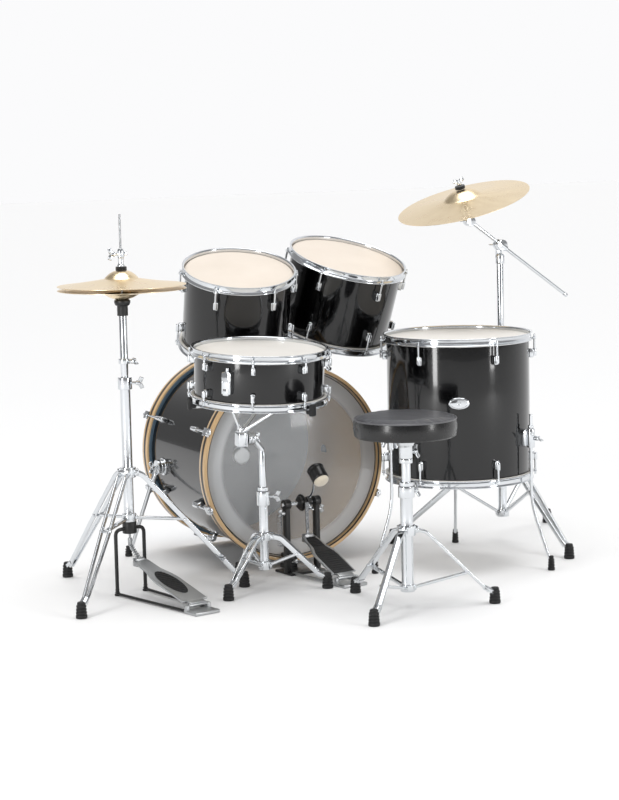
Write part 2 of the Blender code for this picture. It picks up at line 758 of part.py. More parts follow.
def snare_stand(kit):
    stand = frame("snare_stand", kit, at=snare_place())
    collars = [(0.055, 0.078, 0.0185), (0.138, 0.161, 0.0215), (0.238, 0.278, 0.0185)]
    outline = collared(SNARE_TUBE_RADIUS, 0.055, 0.278, collars)
    shapes = [sleeve(outline, SNARE_POST_RADIUS + GAP, 0.085)]
    shapes += tripod_shapes(
        SNARE_STAND_FEET, SNARE_STAND_ANGLE, (0.012, 0.150), (0.046, 0.146), 0.036, 0.42,
        (0.012, 0.066), 0.020, (0.005, 0.014),
    )
    shapes += wing_bolt((0.014, -0.006, 0.262), (0.94, -0.34, 0), 0.034, 0.022)
    make("snare_stand_base", "chrome", stand, shapes)

    hinge = Vector((-HUB_OFFSET, 0, HUB_HEIGHT))
    inner = hinge + Vector((0.034, 0, 0))
    shapes = [
        disc(SNARE_POST_RADIUS, 0.130, 0.397, TUBE),
        bar([(0, 0, 0.388), inner + Vector((-0.004, 0, 0))], 0.0085, TUBE),
        disc(0.018, 0.0, 0.012, TUBE, at=inner - Vector((0.012, 0, 0)), axis=(1, 0, 0)),
    ]
    make("snare_stand_post", "chrome", stand, shapes)

    radius = snare_radius()
    half = rim_height(SNARE_DEPTH)
    lean = (SNARE_TILT, 0, 0)
    tilting = frame("snare_tilt", stand, at=hinge)
    middle = Vector((HUB_OFFSET, 0, SNARE_TOP - HUB_HEIGHT - half * math.cos(math.radians(SNARE_TILT))))
    place = frame("snare", tilting, at=middle, turn=lean)
    to_local = matrix_of(middle, lean).inverted()
    hub = to_local @ Vector((0, 0, 0))
    under = -half - GAP
    shapes = [
        block((0.034, 0.036, 0.046), hub + Vector((-0.004, 0, 0)), (-SNARE_TILT, 0, 0)),
        carried(disc(0.018, 0.012, 0.0217, TUBE, axis=(1, 0, 0)), to_local),
        disc(0.010, hub.z - 0.050, hub.z + 0.030, TUBE, at=(hub.x - 0.004, hub.y, 0)),
        disc(0.0235, -0.009, 0.009, TUBE, at=hub + Vector((-0.004, 0, -0.046)), axis=(0, 1, 0)),
    ]
    reach = radius + SKIRT_OUT
    for angle in BASKET_ARMS:
        start = Vector((hub.x - 0.004, hub.y, hub.z + 0.018))
        knee = polar(radius * 0.45, angle, under - BASKET_ARM_RADIUS)
        end = polar(reach + 0.006, angle, under - BASKET_ARM_RADIUS)
        shapes.append(bar([start, knee, end], BASKET_ARM_RADIUS, THIN, side=(0, 0, 1)))
        grip = polar(reach + GAP + 0.006, angle, under + 0.002)
        shapes.append(block((0.012, 0.020, 0.034), grip, (0, 0, angle)))
    pad_height = under - BASKET_ARM_RADIUS
    shapes.append(disc(0.008, hub.z + 0.010, hub.z + 0.034, TUBE, at=(hub.x - 0.004, hub.y, 0)))
    cuts = [disc(reach + GAP, under, under + 0.1, sides_of(SNARE_LUGS), first=SNARE_FIRST_LUG)]
    if pad_height > under:
        raise ValueError("the basket's arms lie under the drum")
    make("snare_basket", "chrome", place, shapes, cuts)

    angle = THROW_OFF_ANGLE
    extra = [
        block((0.022, 0.030, 0.062), polar(radius + 0.005, angle), (0, 0, angle)),
        block((0.020, 0.034, 0.034), polar(radius + 0.004, angle + 180), (0, 0, angle)),
    ]
    args = (SNARE_LUGS, SNARE_FIRST_LUG, SNARE_LUG_DROP, SNARE_LUG_LENGTH, "white head", extra)
    drum("snare", place, radius, SNARE_DEPTH, *args)

    wires_top = -(SNARE_DEPTH / 2 + GAP + FILM) - GAP
    length = 2 * (radius - 0.014)
    wires = block((length, 0.042, 0.002), (0, 0, wires_top - 0.001), (0, 0, angle))
    make("snare_wires", "steel", place, [wires])

    pivot = polar(radius + 0.016 + GAP + 0.0025, angle, -0.020)
    middle = pivot + Vector((0, 0, 0.027))
    grip = pivot + polar(0.002, angle, 0.046)
    lever = [
        block((0.005, 0.012, 0.054), middle, (0, 0, angle)),
        block((0.009, 0.020, 0.016), grip, (0, 0, angle)),
    ]
    make("snare_throw_off_lever", "chrome", place, lever, pivot=pivot)


# The hi-hat


def pedal_board(name, finish, parent, heel, length, angle):
    """A sloping footboard in a pedal's frame, hinged at its heel along X."""
    slope = math.radians(angle)
    along = Vector((0, math.cos(slope), math.sin(slope)))
    base = Vector((0, *heel))
    up = Vector((0, -math.sin(slope), math.cos(slope)))
    half = BOARD_WIDTH / 2 - 0.0115
    tread = length * 0.62 - 0.013
    shapes = [
        block((BOARD_WIDTH, tread, 0.006), base + along * (0.013 + tread / 2) + up * 0.006, (angle, 0, 0)),
        block((half * 2 - 0.004, 0.022, 0.006), base + along * 0.009 + up * 0.0055, (angle, 0, 0)),
        block((BOARD_WIDTH * 0.62, length * 0.40, 0.0062), base + along * length * 0.78 + up * 0.006,
              (angle, 0, 0)),
        disc(0.005, -half, half, TUBE, at=base, axis=(1, 0, 0)),
        block((0.030, 0.022, 2 * TOE_TOP), base + along * (length - TOE_INSET)),
    ]
    make(name, finish, parent, shapes, pivot=base)


def heel_plate(heel, width=BOARD_WIDTH):
    """The plate under a pedal's heel, with a hinge ear on each side."""
    y, z = heel
    shapes = [block((width, 0.056, 0.009), (0, y - 0.021, 0.0045))]
    for way in (-1, 1):
        x = way * (width / 2 - 0.0055)
        shapes.append(block((0.011, 0.016, z + 0.003), (x, y, (z + 0.003) / 2)))
    return shapes


def hi_hat(kit):
    stand = frame("hi_hat", kit, at=HAT_PLACE)
    bottom, top = HAT_TUBE_BOTTOM, HAT_COLLAR_TOP
    collars = [(bottom, 0.228, 0.0200), (0.330, 0.358, 0.0230), (0.577, top, 0.0200)]
    outline = collared(HAT_TUBE_RADIUS, bottom, top, collars)
    rod_bore = HAT_ROD_RADIUS + 0.002
    tube_bore = HAT_INNER_RADIUS + GAP
    floor = 0.360
    profile = [*outline, (tube_bore, top), (tube_bore, floor), (rod_bore, floor), (rod_bore, bottom)]
    shapes = [turned(profile, TUBE, ring=True)]
    shapes += tripod_shapes(
        HAT_FEET, HAT_STAND_ANGLE, (0.013, 0.344), (0.040, 0.336), 0.036, 0.44,
        (0.014, 0.216), 0.024, (0.005, 0.014),
    )
    shapes += wing_bolt((0.015, -0.007, 0.594), (0.9, -0.43, 0), 0.034, 0.024)
    make("hihat_base", "chrome", stand, shapes)

    lower_bell = HAT_EDGE - HAT_REST_GAP / 2 - CYMBAL_THICK - HAT_LOWER_BOW - HAT_LOWER_BELL
    cup = lower_bell - GAP
    outline = collared(HAT_INNER_RADIUS, 0.405, cup, [(0.648, 0.662, 0.0160), (cup - 0.018, cup, 0.0230)])
    profile = [*outline, (rod_bore, cup), (rod_bore, 0.405)]
    make("hihat_upper_tube", "chrome", stand, [turned(profile, TUBE, ring=True)])

    radius = HAT_DIAMETER / 2
    low_rim = HAT_EDGE - HAT_REST_GAP / 2
    profile = cymbal_profile(radius, 0.048, HAT_LOWER_BOW, HAT_LOWER_BELL, -1)
    lower = [(r, h + low_rim - CYMBAL_THICK) for r, h in profile]
    make("hihat_bottom_cymbal", "bronze", stand, [turned(lower, ROUND, ring=True)])
    high_rim = HAT_EDGE + HAT_REST_GAP / 2 + CYMBAL_THICK
    profile = cymbal_profile(radius, 0.048, HAT_BOW, HAT_BELL)
    upper = [(r, h + high_rim) for r, h in profile]
    make("hihat_top_cymbal", "bronze", stand, [turned(upper, ROUND, ring=True)])

    bell = high_rim + HAT_BOW + HAT_BELL
    under = bell - CYMBAL_THICK
    bore = HAT_ROD_RADIUS + 2 * GAP
    outline = [
        (0.0072, under - 0.014), (0.0072, under - GAP), (0.0050, under - GAP),
        (0.0050, bell + GAP), (0.0160, bell + GAP), (0.0160, bell + 0.012),
        (0.0080, bell + 0.012), (0.0080, bell + 0.060),
    ]
    profile = [*outline, (bore, bell + 0.060), (bore, under - 0.014)]
    clutch = [turned(profile, TUBE, ring=True)]
    clutch.append(block((0.030, 0.006, 0.014), (-0.021, 0, bell + 0.049)))
    make("hihat_clutch", "chrome", stand, clutch)

    pedal = frame("hihat_pedal", stand, turn=(0, 0, HAT_PEDAL_YAW))
    toe = Vector((0, HAT_BOARD_HEEL[0], HAT_BOARD_HEEL[1]))
    slope = math.radians(HAT_BOARD_ANGLE)
    toe += Vector((0, math.cos(slope), math.sin(slope))) * (HAT_BOARD_LENGTH - TOE_INSET)
    path = [(0, 0, 0.160), (0, 0, 0.146), (0, toe.y, toe.z + 0.022), (0, toe.y, toe.z + TOE_TOP + GAP)]
    pull = [
        disc(HAT_ROD_RADIUS, 0.150, HAT_ROD_TOP, THIN),
        bar(path, section=(0.012, 0.006), side=(1, 0, 0)),
    ]
    make("hihat_rod", "steel", pedal, pull)
    pedal_board("hihat_footboard", "cast aluminium", pedal, HAT_BOARD_HEEL, HAT_BOARD_LENGTH, HAT_BOARD_ANGLE)
    frame_shapes = heel_plate(HAT_BOARD_HEEL)
    frame_shapes.append(disc(0.020, 0.172, bottom - GAP, TUBE))
    for way in (-1, 1):
        x = way * 0.047
        path = [(0, 0, 0.186), (x * 0.8, 0, 0.186), (x, 0, 0.168), (x, 0, 0.0)]
        frame_shapes.append(bar(path, section=(0.012, 0.009), side=(0, 1, 0)))
        rail = [(x, 0.004, 0.006), (x, -0.010, 0.006), (way * 0.034, HAT_BOARD_HEEL[0], 0.006)]
        frame_shapes.append(bar(rail, section=(0.010, 0.008), side=(1, 0, 0)))
    hole = disc(rod_bore, 0.150, 0.230, TUBE)
    make("hihat_pedal_frame", "black steel", pedal, frame_shapes, [hole])


# The bass drum pedal


def bass_pedal(kit):
    pedal = frame("bass_pedal", kit, at=PEDAL_PLACE, turn=(0, 0, PEDAL_YAW))
    to_local = matrix_of(PEDAL_PLACE, (0, 0, PEDAL_YAW)).inverted()
    y, z = BEATER_AXLE
    half = 0.052
    shapes = heel_plate(BOARD_HEEL)
    shapes.append(block((0.120, 0.090, 0.007), (0, y + 0.012, 0.0035)))
    shapes.append(block((0.036, 0.060, 0.040), (0, -0.020, 0.0255)))
    for way in (-1, 1):
        x = way * half
        shapes.append(bar([(x, y, 0.003), (x, y, z)], section=(0.016, 0.018), side=(1, 0, 0)))
        shapes.append(disc(0.0150, -0.010, 0.010, TUBE, at=(x, y, z), axis=(1, 0, 0)))
        rail = [(way * 0.046, y, 0.0042), (way * 0.034, BOARD_HEEL[0], 0.0042)]
        shapes.append(bar(rail, section=(0.010, 0.008), side=(1, 0, 0)))
    axis = matrix_of((0, 0, bass_axis_height()), (-90, 0, 0))
    hoop = turned(bass_hoop_ring(GAP), BASS_ROUND, ring=True, first=BASS_FIRST_LUG)
    head_side = block((0.2, 0.1, 0.2), (0, 0.061, 0.116))
    bore = disc(0.0065, -0.08, 0.08, TUBE, at=(0, y, z), axis=(1, 0, 0))
    cuts = [carried(hoop, to_local @ axis), head_side, bore]
    make("bass_pedal_frame", "black steel", pedal, shapes, cuts)

    pivot = Vector((0, y, z))
    back = math.radians(BEATER_BACK)
    shaft = Vector((0, -math.sin(back), math.cos(back)))
    face = Vector((0, math.cos(back), math.sin(back)))
    head = pivot + shaft * BEATER_REACH
    felt = [(0, -0.030), (0.020, -0.030), (0.0255, -0.016), (0.0255, 0.022), (0.018, 0.030), (0, 0.030)]
    shapes = [
        disc(0.0060, -0.064, 0.064, TUBE, at=pivot, axis=(1, 0, 0)),
        disc(CAM_RADIUS, -0.009, 0.009, 12, at=pivot, axis=(1, 0, 0)),
        disc(0.011, 0.012, 0.030, TUBE, at=pivot, axis=(1, 0, 0)),
        bar([pivot + Vector((0.020, 0, 0)) - shaft * 0.02, pivot + Vector((0.020, 0, 0)) + shaft * 0.050,
             head - shaft * 0.040, head + shaft * 0.004], 0.0032, THIN),
        turned(felt, 12, at=head, axis=face),
    ]
    make("bass_pedal_beater", "black steel", pedal, shapes, pivot=pivot)
    name = "bass_pedal_footboard"
    pedal_board(name, "cast aluminium", pedal, BOARD_HEEL, BOARD_LENGTH, BOARD_ANGLE)

    slope = math.radians(BOARD_ANGLE)
    along = Vector((0, math.cos(slope), math.sin(slope)))
    toe = Vector((0, *BOARD_HEEL)) + along * (BOARD_LENGTH - TOE_INSET)
    front = y - CAM_RADIUS - 0.00275 - GAP
    end = toe.z + TOE_TOP + GAP
    path = [(0, front, z + 0.004), (0, front, z - 0.03), (0, toe.y, end + 0.020), (0, toe.y, end)]
    chain = bar(path, section=(0.010, 0.0055), side=(1, 0, 0))
    make("bass_pedal_chain", "steel", pedal, [chain])
    spring = turned([(0.0085, 0.085), (0.0085, 0.180), (0.005, 0.180), (0.005, 0.085)], TUBE,
                    at=(-half - 0.024, y, 0), ring=True)
    hanger = bar([(-half - 0.008 - GAP, y, 0.0865), (-half - 0.018, y, 0.0865)], section=(0.010, 0.004), side=(0, 1, 0))
    make("bass_pedal_spring", "steel", pedal, [spring, hanger])


# The crash cymbal on its boom stand


def boom_stand(kit):
    floor_radius = FLOOR_TOM_DIAMETER / 2 - SHELL_UNDERSIZE
    edge = floor_tom_centre().x + floor_radius + EAR_OUT
    place = Vector((edge + BOOM_STAND_CLEARANCE, BOOM_STAND_Y, 0))
    stand = frame("boom_stand", kit, at=place)
    collars = [(0.078, 0.100, 0.0200), (0.270, 0.296, 0.0230), (0.570, BOOM_COLLAR_TOP, 0.0200)]
    outline = collared(BOOM_TUBE_RADIUS, 0.078, BOOM_COLLAR_TOP, collars)
    shapes = [sleeve(outline, BOOM_POST_RADIUS + GAP, 0.235)]
    shapes += tripod_shapes(
        BOOM_FEET, BOOM_STAND_ANGLE, (0.013, 0.283), (0.040, 0.277), 0.036, 0.40,
        (0.013, 0.089), 0.024, (0.005, 0.014),
    )
    shapes += wing_bolt((0.016, 0, 0.586), (1, 0, 0), 0.034, 0.024)
    make("boom_stand_base", "chrome", stand, shapes)

    pivot = Vector((0, 0, BOOM_PIVOT))
    neck_top = 0.888
    shapes = [
        disc(BOOM_POST_RADIUS, 0.310, neck_top, TUBE),
        disc(0.0140, 0.858, neck_top - 0.002, TUBE),
        block((0.018, 0.012, 0.042), (0, 0.0072, 0.897)),
        disc(CLAMP_RADIUS, GAP, 0.0135, TUBE, at=pivot, axis=(0, 1, 0)),
        *wing_bolt(pivot + Vector((0, 0.012, 0)), (0, 1, 0), 0.034, 0.020),
    ]
    make("boom_stand_post", "chrome", stand, shapes)

    slope = math.radians(BOOM_SLOPE)
    along = Vector((-math.cos(slope), 0, math.sin(slope)))
    line = Vector((0, BOOM_ARM_SIDE, BOOM_PIVOT))
    clamp = frame("boom_clamp_hinge", stand, at=pivot)
    shapes = [
        disc(CLAMP_RADIUS, -0.0190, -GAP, TUBE, axis=(0, 1, 0)),
        disc(0.0098, -0.020, 0.020, TUBE, at=(0, BOOM_ARM_SIDE - 0.001, 0), axis=along),
    ]
    hole = disc(BOOM_ARM_RADIUS + 2 * GAP, -0.04, 0.04, THIN, at=(0, BOOM_ARM_SIDE, 0), axis=along)
    side_cut = block((0.08, 0.02, 0.08), (0, 0.01 - GAP, 0))
    make("boom_clamp", "chrome", clamp, shapes, [hole, side_cut])

    tilt_y = BOOM_ARM_SIDE + 0.0062
    tilt = line + along * BOOM_FRONT
    arm_axis = aim(line, along)
    disc_b = disc(0.015, BOOM_ARM_SIDE - 0.006, tilt_y - GAP, TUBE, at=(tilt.x, 0, tilt.z), axis=(0, 1, 0))
    rod = carried(disc(BOOM_ARM_RADIUS, -BOOM_BACK, BOOM_FRONT, THIN), arm_axis)
    cap = carried(disc(0.0065, -BOOM_BACK - 0.004, -BOOM_BACK + 0.008, TUBE), arm_axis)
    make("boom_arm", "chrome", stand, [rod, disc_b, cap])

    hinge = Vector((tilt.x, tilt_y, tilt.z))
    tilter = frame("cymbal_tilter_hinge", stand, at=hinge)
    lean = CRASH_LEAN
    bell = CRASH_EDGE + CRASH_BOW + CRASH_BELL
    under = bell - CYMBAL_THICK
    side = Vector((0, 0.0092, 0))
    profile = [
        (0, 0.002), (0.0072, 0.002), (0.0072, under - 0.014), (0.0140, under - 0.014),
        (0.0140, under - 0.004), (0.0040, under - 2 * GAP), (0.0030, bell + 2 * GAP),
        (0.0045, bell + 2 * GAP), (0.0160, bell + 0.004), (0.0160, bell + 0.013),
        (0.0050, bell + 0.013), (0.0050, bell + 0.024), (0, bell + 0.024),
    ]
    stem = turned(profile, TUBE, at=side, axis=lean)
    wing = carried(block((0.034, 0.005, 0.012), (0, 0, bell + 0.026)), aim(side, lean))
    knuckle = disc(0.015, GAP, 0.015, TUBE, axis=(0, 1, 0))
    make("cymbal_tilter", "chrome", tilter, [knuckle, stem, wing])

    seat = side + lean * (under - GAP)
    rock = frame("crash_rock", tilter, at=seat)
    rock.rotation_mode = "QUATERNION"
    rock.rotation_quaternion = Vector((0, 0, 1)).rotation_difference(lean)
    profile = cymbal_profile(CRASH_DIAMETER / 2, 0.058, CRASH_BOW, CRASH_BELL)
    plate = [(r, h - (bell - CRASH_EDGE) + CYMBAL_THICK + GAP) for r, h in profile]
    make("crash_cymbal", "bronze", rock, [turned(plate, ROUND, ring=True)])


# The throne


def throne(kit):
    stand = frame("throne", kit, at=THRONE_PLACE)
    collars = [(0.043, 0.062, 0.0200), (0.196, 0.223, 0.0250), (0.299, 0.329, 0.0225)]
    outline = collared(THRONE_TUBE_RADIUS, 0.043, 0.329, collars)
    shapes = [sleeve(outline, THRONE_POST_RADIUS + GAP, 0.075)]
    shapes += tripod_shapes(
        THRONE_FEET, THRONE_ANGLE, (0.014, 0.212), (0.050, 0.205), 0.034, 0.68,
        (0.014, 0.0525), 0.0, (0.020, 0.009),
    )
    shapes += wing_bolt((0.018, 0.006, 0.314), (0.95, 0.3, 0), 0.034, 0.022)
    make("throne_base", "chrome", stand, shapes)

    bottom = SEAT_TOP - SEAT_THICK
    post_top = bottom - 0.010
    post = [disc(THRONE_POST_RADIUS, 0.145, post_top, TUBE), disc(0.0185, 0.392, 0.404, TUBE)]
    make("throne_post", "chrome", stand, post)

    radius = SEAT_RADIUS
    cushion = [
        (0, bottom), (radius - 0.008, bottom), (radius, bottom + 0.008),
        (radius, SEAT_TOP - 0.012), (radius - 0.014, SEAT_TOP), (0, SEAT_TOP),
    ]
    socket_top = bottom + 0.006
    # The post's corners clear the socket's flats as the seat turns.
    bore = THRONE_POST_RADIUS / math.cos(math.pi / TUBE) + GAP
    socket = [
        (bore, 0.404 + GAP), (0.0185, 0.404 + GAP), (0.0185, 0.440), (0.034, socket_top),
        (bore, socket_top),
    ]
    room = disc(bore, 0.39, post_top + GAP, TUBE)
    seat = [turned(cushion, BASS_ROUND), turned(socket, TUBE, ring=True)]
    make("throne_seat", "vinyl", stand, seat, [room])


def centre_on_floor(kit):
    """Moves the kit so that its origin is the middle of its bounding box, on the floor."""
    bpy.context.view_layer.update()
    corners = [n.matrix_world @ v.co for n in bpy.data.objects if n.type == "MESH" for v in n.data.vertices]
    low = [min(c[k] for c in corners) for k in range(3)]
    high = [max(c[k] for c in corners) for k in range(3)]
    kit.location = (-(low[0] + high[0]) / 2, -(low[1] + high[1]) / 2, -low[2])
    bpy.context.view_layer.update()


def main():
    clear_scene()
    kit = frame("drum_kit")
    bass_drum(kit)
    spur(kit, "left", -1)
    spur(kit, "right", 1)
    foot = tom_holder(kit)
    tom(kit, 12, TOM_12_DIAMETER, TOM_12_DEPTH, HOLDER_X[0], TOM_12_CLEARANCE, TOM_12_BEARING,
        TOM_12_REACH, TOM_12_PAD_TURN, TOM_12_TILT, TOM_12_PIVOT_HEIGHT, TOM_12_FIRST_LUG, foot)
    tom(kit, 13, TOM_13_DIAMETER, TOM_13_DEPTH, HOLDER_X[1], TOM_13_CLEARANCE, TOM_13_BEARING,
        TOM_13_REACH, TOM_13_PAD_TURN, TOM_13_TILT, TOM_13_PIVOT_HEIGHT, TOM_13_FIRST_LUG, foot)
    floor_tom(kit)
    snare_stand(kit)
    hi_hat(kit)
    bass_pedal(kit)
    boom_stand(kit)
    throne(kit)
    centre_on_floor(kit)


main()
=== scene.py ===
# %% [markdown]
# # An acoustic drum kit
# A drum kit is six things that stand on the floor by themselves: the bass drum with its two rack toms and its
# pedal, the floor tom, the snare on a basket stand, the hi-hat, the crash on a boom stand, and the throne. The
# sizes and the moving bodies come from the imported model, and this lesson builds what the eye sees around them.

# %% The frame
import json
import math

import bmesh
import bpy
from mathutils import Euler, Matrix, Vector


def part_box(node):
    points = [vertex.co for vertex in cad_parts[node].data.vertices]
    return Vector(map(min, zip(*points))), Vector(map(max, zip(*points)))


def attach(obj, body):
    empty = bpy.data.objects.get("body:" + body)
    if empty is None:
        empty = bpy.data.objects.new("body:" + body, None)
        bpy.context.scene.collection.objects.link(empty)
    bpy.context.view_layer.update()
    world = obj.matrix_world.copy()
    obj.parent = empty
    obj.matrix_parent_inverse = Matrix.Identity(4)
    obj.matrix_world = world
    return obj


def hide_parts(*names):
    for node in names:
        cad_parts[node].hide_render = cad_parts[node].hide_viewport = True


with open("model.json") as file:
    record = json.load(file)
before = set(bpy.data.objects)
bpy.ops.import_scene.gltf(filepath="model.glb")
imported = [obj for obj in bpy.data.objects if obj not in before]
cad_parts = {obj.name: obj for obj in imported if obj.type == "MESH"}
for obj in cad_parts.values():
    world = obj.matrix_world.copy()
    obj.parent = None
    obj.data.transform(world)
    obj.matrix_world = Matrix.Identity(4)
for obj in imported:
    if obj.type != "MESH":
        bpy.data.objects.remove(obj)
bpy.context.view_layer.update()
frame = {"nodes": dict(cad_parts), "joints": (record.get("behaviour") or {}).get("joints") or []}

JOINTS = {joint["name"]: joint for joint in frame["joints"]}
GAP = 0.0003

# %% [markdown]
# ## The camera
# A long lens from beside and behind the drummer's seat keeps the drums' circles nearly true. The camera is made
# first, so that every later choice can be judged from it.

# %% The camera
LENS = 99.0
CAMERA_OFFSET = Vector((-2.760, -5.755, 1.310))
LOOK = Vector((0.4355, 0.8912, -0.1269)).normalized()
ROLL = -0.0218
HOOP_LIP = 0.003  # the claws stand this far past the hoop's edge


def hoop_middle():
    """The middle of the bass drum's near hoop, on the floor."""
    low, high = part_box("bass_batter_head")
    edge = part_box("bass_batter_hoop")[0].y + HOOP_LIP
    return Vector(((low.x + high.x) / 2, edge, 0.0))


def aim_camera():
    right = LOOK.cross(Vector((0, 0, 1))).normalized()
    up = right.cross(LOOK)
    turned_right = right * math.cos(ROLL) + up * math.sin(ROLL)
    turned_up = up * math.cos(ROLL) - right * math.sin(ROLL)
    data = bpy.data.cameras.new("camera")
    data.lens = LENS
    data.dof.use_dof = False
    camera = bpy.data.objects.new("camera", data)
    bpy.context.scene.collection.objects.link(camera)
    turn = Matrix((turned_right, turned_up, -LOOK)).transposed()
    camera.matrix_world = Matrix.Translation(hoop_middle() + CAMERA_OFFSET) @ turn.to_4x4()
    bpy.context.scene.camera = camera
    return camera


camera = aim_camera()
print("camera at", [round(v, 2) for v in camera.location])

# %% [markdown]
# ## Adding nodes and colours
# A material is a small tree of nodes. One function adds a node, sets it and links it, so that each recipe below
# reads as a list of what is mixed with what. Colours are written as the usual hex values for a screen, and
# turned to the linear values that light adds up in.


# %% Nodes and colours
def linear(code):
    """A hex colour such as #efe3d5 as linear red, green, blue and alpha."""
    parts = [int(code[k : k + 2], 16) / 255 for k in (1, 3, 5)]
    return (*[p / 12.92 if p <= 0.04045 else ((p + 0.055) / 1.055) ** 2.4 for p in parts], 1.0)


def add(tree, kind, inputs=None, **settings):
    """A new node. inputs maps a socket's name or number to a value, or to the socket that feeds it."""
    node = tree.nodes.new(kind)
    for name, value in settings.items():
        setattr(node, name, value)
    for key, value in (inputs or {}).items():
        if isinstance(value, bpy.types.NodeSocket):
            tree.links.new(value, node.inputs[key])
        else:
            node.inputs[key].default_value = value
    return node


def finish_of(name, colour, roughness, metallic=0.0, **more):
    """A new material with its shader set. Returns the material, its tree and its shader."""
    material = bpy.data.materials.new(name)
    material.use_nodes = True
    tree = material.node_tree
    shader = tree.nodes["Principled BSDF"]
    values = {"Base Color": linear(colour), "Roughness": roughness, "Metallic": metallic, **more}
    for key, value in values.items():
        shader.inputs[key].default_value = value
    return material, tree, shader


def grain(tree, shader, size, depth, detail=2.0, coordinates="Object", stretch=(1, 1, 1)):
    """Noise of a size in metres as a bump of a depth in metres. Returns the noise."""
    where = add(tree, "ShaderNodeTexCoord").outputs[coordinates]
    scaled = add(tree, "ShaderNodeMapping", {"Vector": where, "Scale": stretch})
    noise = add(
        tree, "ShaderNodeTexNoise", {"Vector": scaled.outputs[0], "Scale": 1 / size, "Detail": detail}
    )
    bump = add(tree, "ShaderNodeBump", {"Height": noise.outputs[0], "Distance": depth, "Strength": 1.0})
    tree.links.new(bump.outputs[0], shader.inputs["Normal"])
    return noise


def vary(tree, noise, socket, low, high):
    """Drives a shader's value between two limits with a noise."""
    spread = add(
        tree, "ShaderNodeMapRange",
        {"Value": noise.outputs[0], "From Min": 0.3, "From Max": 0.7, "To Min": low, "To Max": high},
    )
    tree.links.new(spread.outputs[0], socket)


def tint(tree, noise, socket, one, other):
    """Drives a shader's colour between two hex colours with a noise."""
    mix = add(tree, "ShaderNodeMix", {0: noise.outputs[0]}, data_type="RGBA")
    mix.inputs["A"].default_value = linear(one)
    mix.inputs["B"].default_value = linear(other)
    tree.links.new(mix.outputs["Result"], socket)


# %% [markdown]
# ## The finishes
# The shells are wood under many coats of black polyester lacquer: a deep black with a hard clear gloss, and the
# faint orange peel that spraying leaves. Nearly all the hardware is chrome-plated steel, which is almost a
# mirror, with a slightly uneven polish. What is left is film, felt, rubber, vinyl, wood and bronze, and each has
# one surface habit that the eye looks for.


# %% Lacquer and metals
def black_lacquer():
    """Sprayed polyester lacquer: black below, a hard clear coat above, orange peel about 4 mm wide."""
    material, tree, shader = finish_of("black polyester lacquer", "#050506", 0.10)
    shader.inputs["IOR"].default_value = 1.45
    shader.inputs["Coat Weight"].default_value = 0.35
    shader.inputs["Coat Roughness"].default_value = 0.03
    noise = grain(tree, shader, 0.004, 0.000004)
    vary(tree, noise, shader.inputs["Roughness"], 0.08, 0.16)
    return material


def chrome_plate():
    """Chrome plate over buffed steel: the buffing shows as slow changes in how sharp the mirror is."""
    material, tree, shader = finish_of("chrome plate", "#d9dcdf", 0.08, metallic=1.0)
    noise = grain(tree, shader, 0.006, 0.000002)
    vary(tree, noise, shader.inputs["Roughness"], 0.05, 0.12)
    return material


def cast_aluminium():
    """Die-cast aluminium, tumbled: a fine pebble from the mould, 1.5 mm wide, drawn coarse enough to show."""
    material, tree, shader = finish_of("die-cast aluminium", "#b9bbbc", 0.36, metallic=1.0)
    noise = grain(tree, shader, 0.0015, 0.00005)
    vary(tree, noise, shader.inputs["Roughness"], 0.28, 0.46)
    return material


def bright_steel():
    """Zinc-plated steel wire and chain: bright, but greyer and duller than chrome."""
    material, tree, shader = finish_of("zinc-plated steel", "#a7a9ab", 0.24, metallic=1.0)
    noise = grain(tree, shader, 0.003, 0.00001)
    vary(tree, noise, shader.inputs["Roughness"], 0.18, 0.34)
    return material


def black_paint():
    """Baked black paint on pressed steel: satin, with a fine orange peel."""
    material, tree, shader = finish_of("baked black paint", "#131313", 0.32)
    noise = grain(tree, shader, 0.0025, 0.00002)
    vary(tree, noise, shader.inputs["Roughness"], 0.26, 0.42)
    return material


def turned_bronze():
    """Hammered and lathed bell bronze: the lathe leaves fine rings, about 1.2 mm apart, drawn at 2.5 mm."""
    material, tree, shader = finish_of("lathed bell bronze", "#eedab6", 0.30, metallic=1.0)
    place = add(tree, "ShaderNodeSeparateXYZ", {0: add(tree, "ShaderNodeTexCoord").outputs["UV"]})
    wobble = add(
        tree, "ShaderNodeTexNoise",
        {"Vector": add(tree, "ShaderNodeTexCoord").outputs["UV"], "Scale": 18.0, "Detail": 3.0},
    )
    rings = add(
        tree, "ShaderNodeMath",
        {0: place.outputs["Y"], 1: 2 * math.pi / 0.0025, 2: wobble.outputs[0]}, operation="MULTIPLY_ADD",
    )
    wave = add(tree, "ShaderNodeMath", {0: rings.outputs[0]}, operation="SINE")
    bump = add(tree, "ShaderNodeBump", {"Height": wave.outputs[0], "Distance": 0.000012, "Strength": 1.0})
    tree.links.new(bump.outputs[0], shader.inputs["Normal"])
    tint(tree, wobble, shader.inputs["Base Color"], "#e6cda2", "#f6e6c8")
    vary(tree, wobble, shader.inputs["Roughness"], 0.24, 0.38)
    return material


LACQUER, CHROME, ALUMINIUM = black_lacquer(), chrome_plate(), cast_aluminium()
STEEL, PAINT, BRONZE = bright_steel(), black_paint(), turned_bronze()
print("metals and lacquer:", len(bpy.data.materials))

# %% [markdown]
# ## Films, wood and soft finishes
# A coated drum head is polyester film sprayed with a gritty white paint, so it is matt and slightly sandy, and
# the sticks leave faint grey marks near its middle. The bass drum's batter head is bare clear film, and only a
# ring round its edge is frosted: one sees the wooden inside of the shell and the dark front head through it.


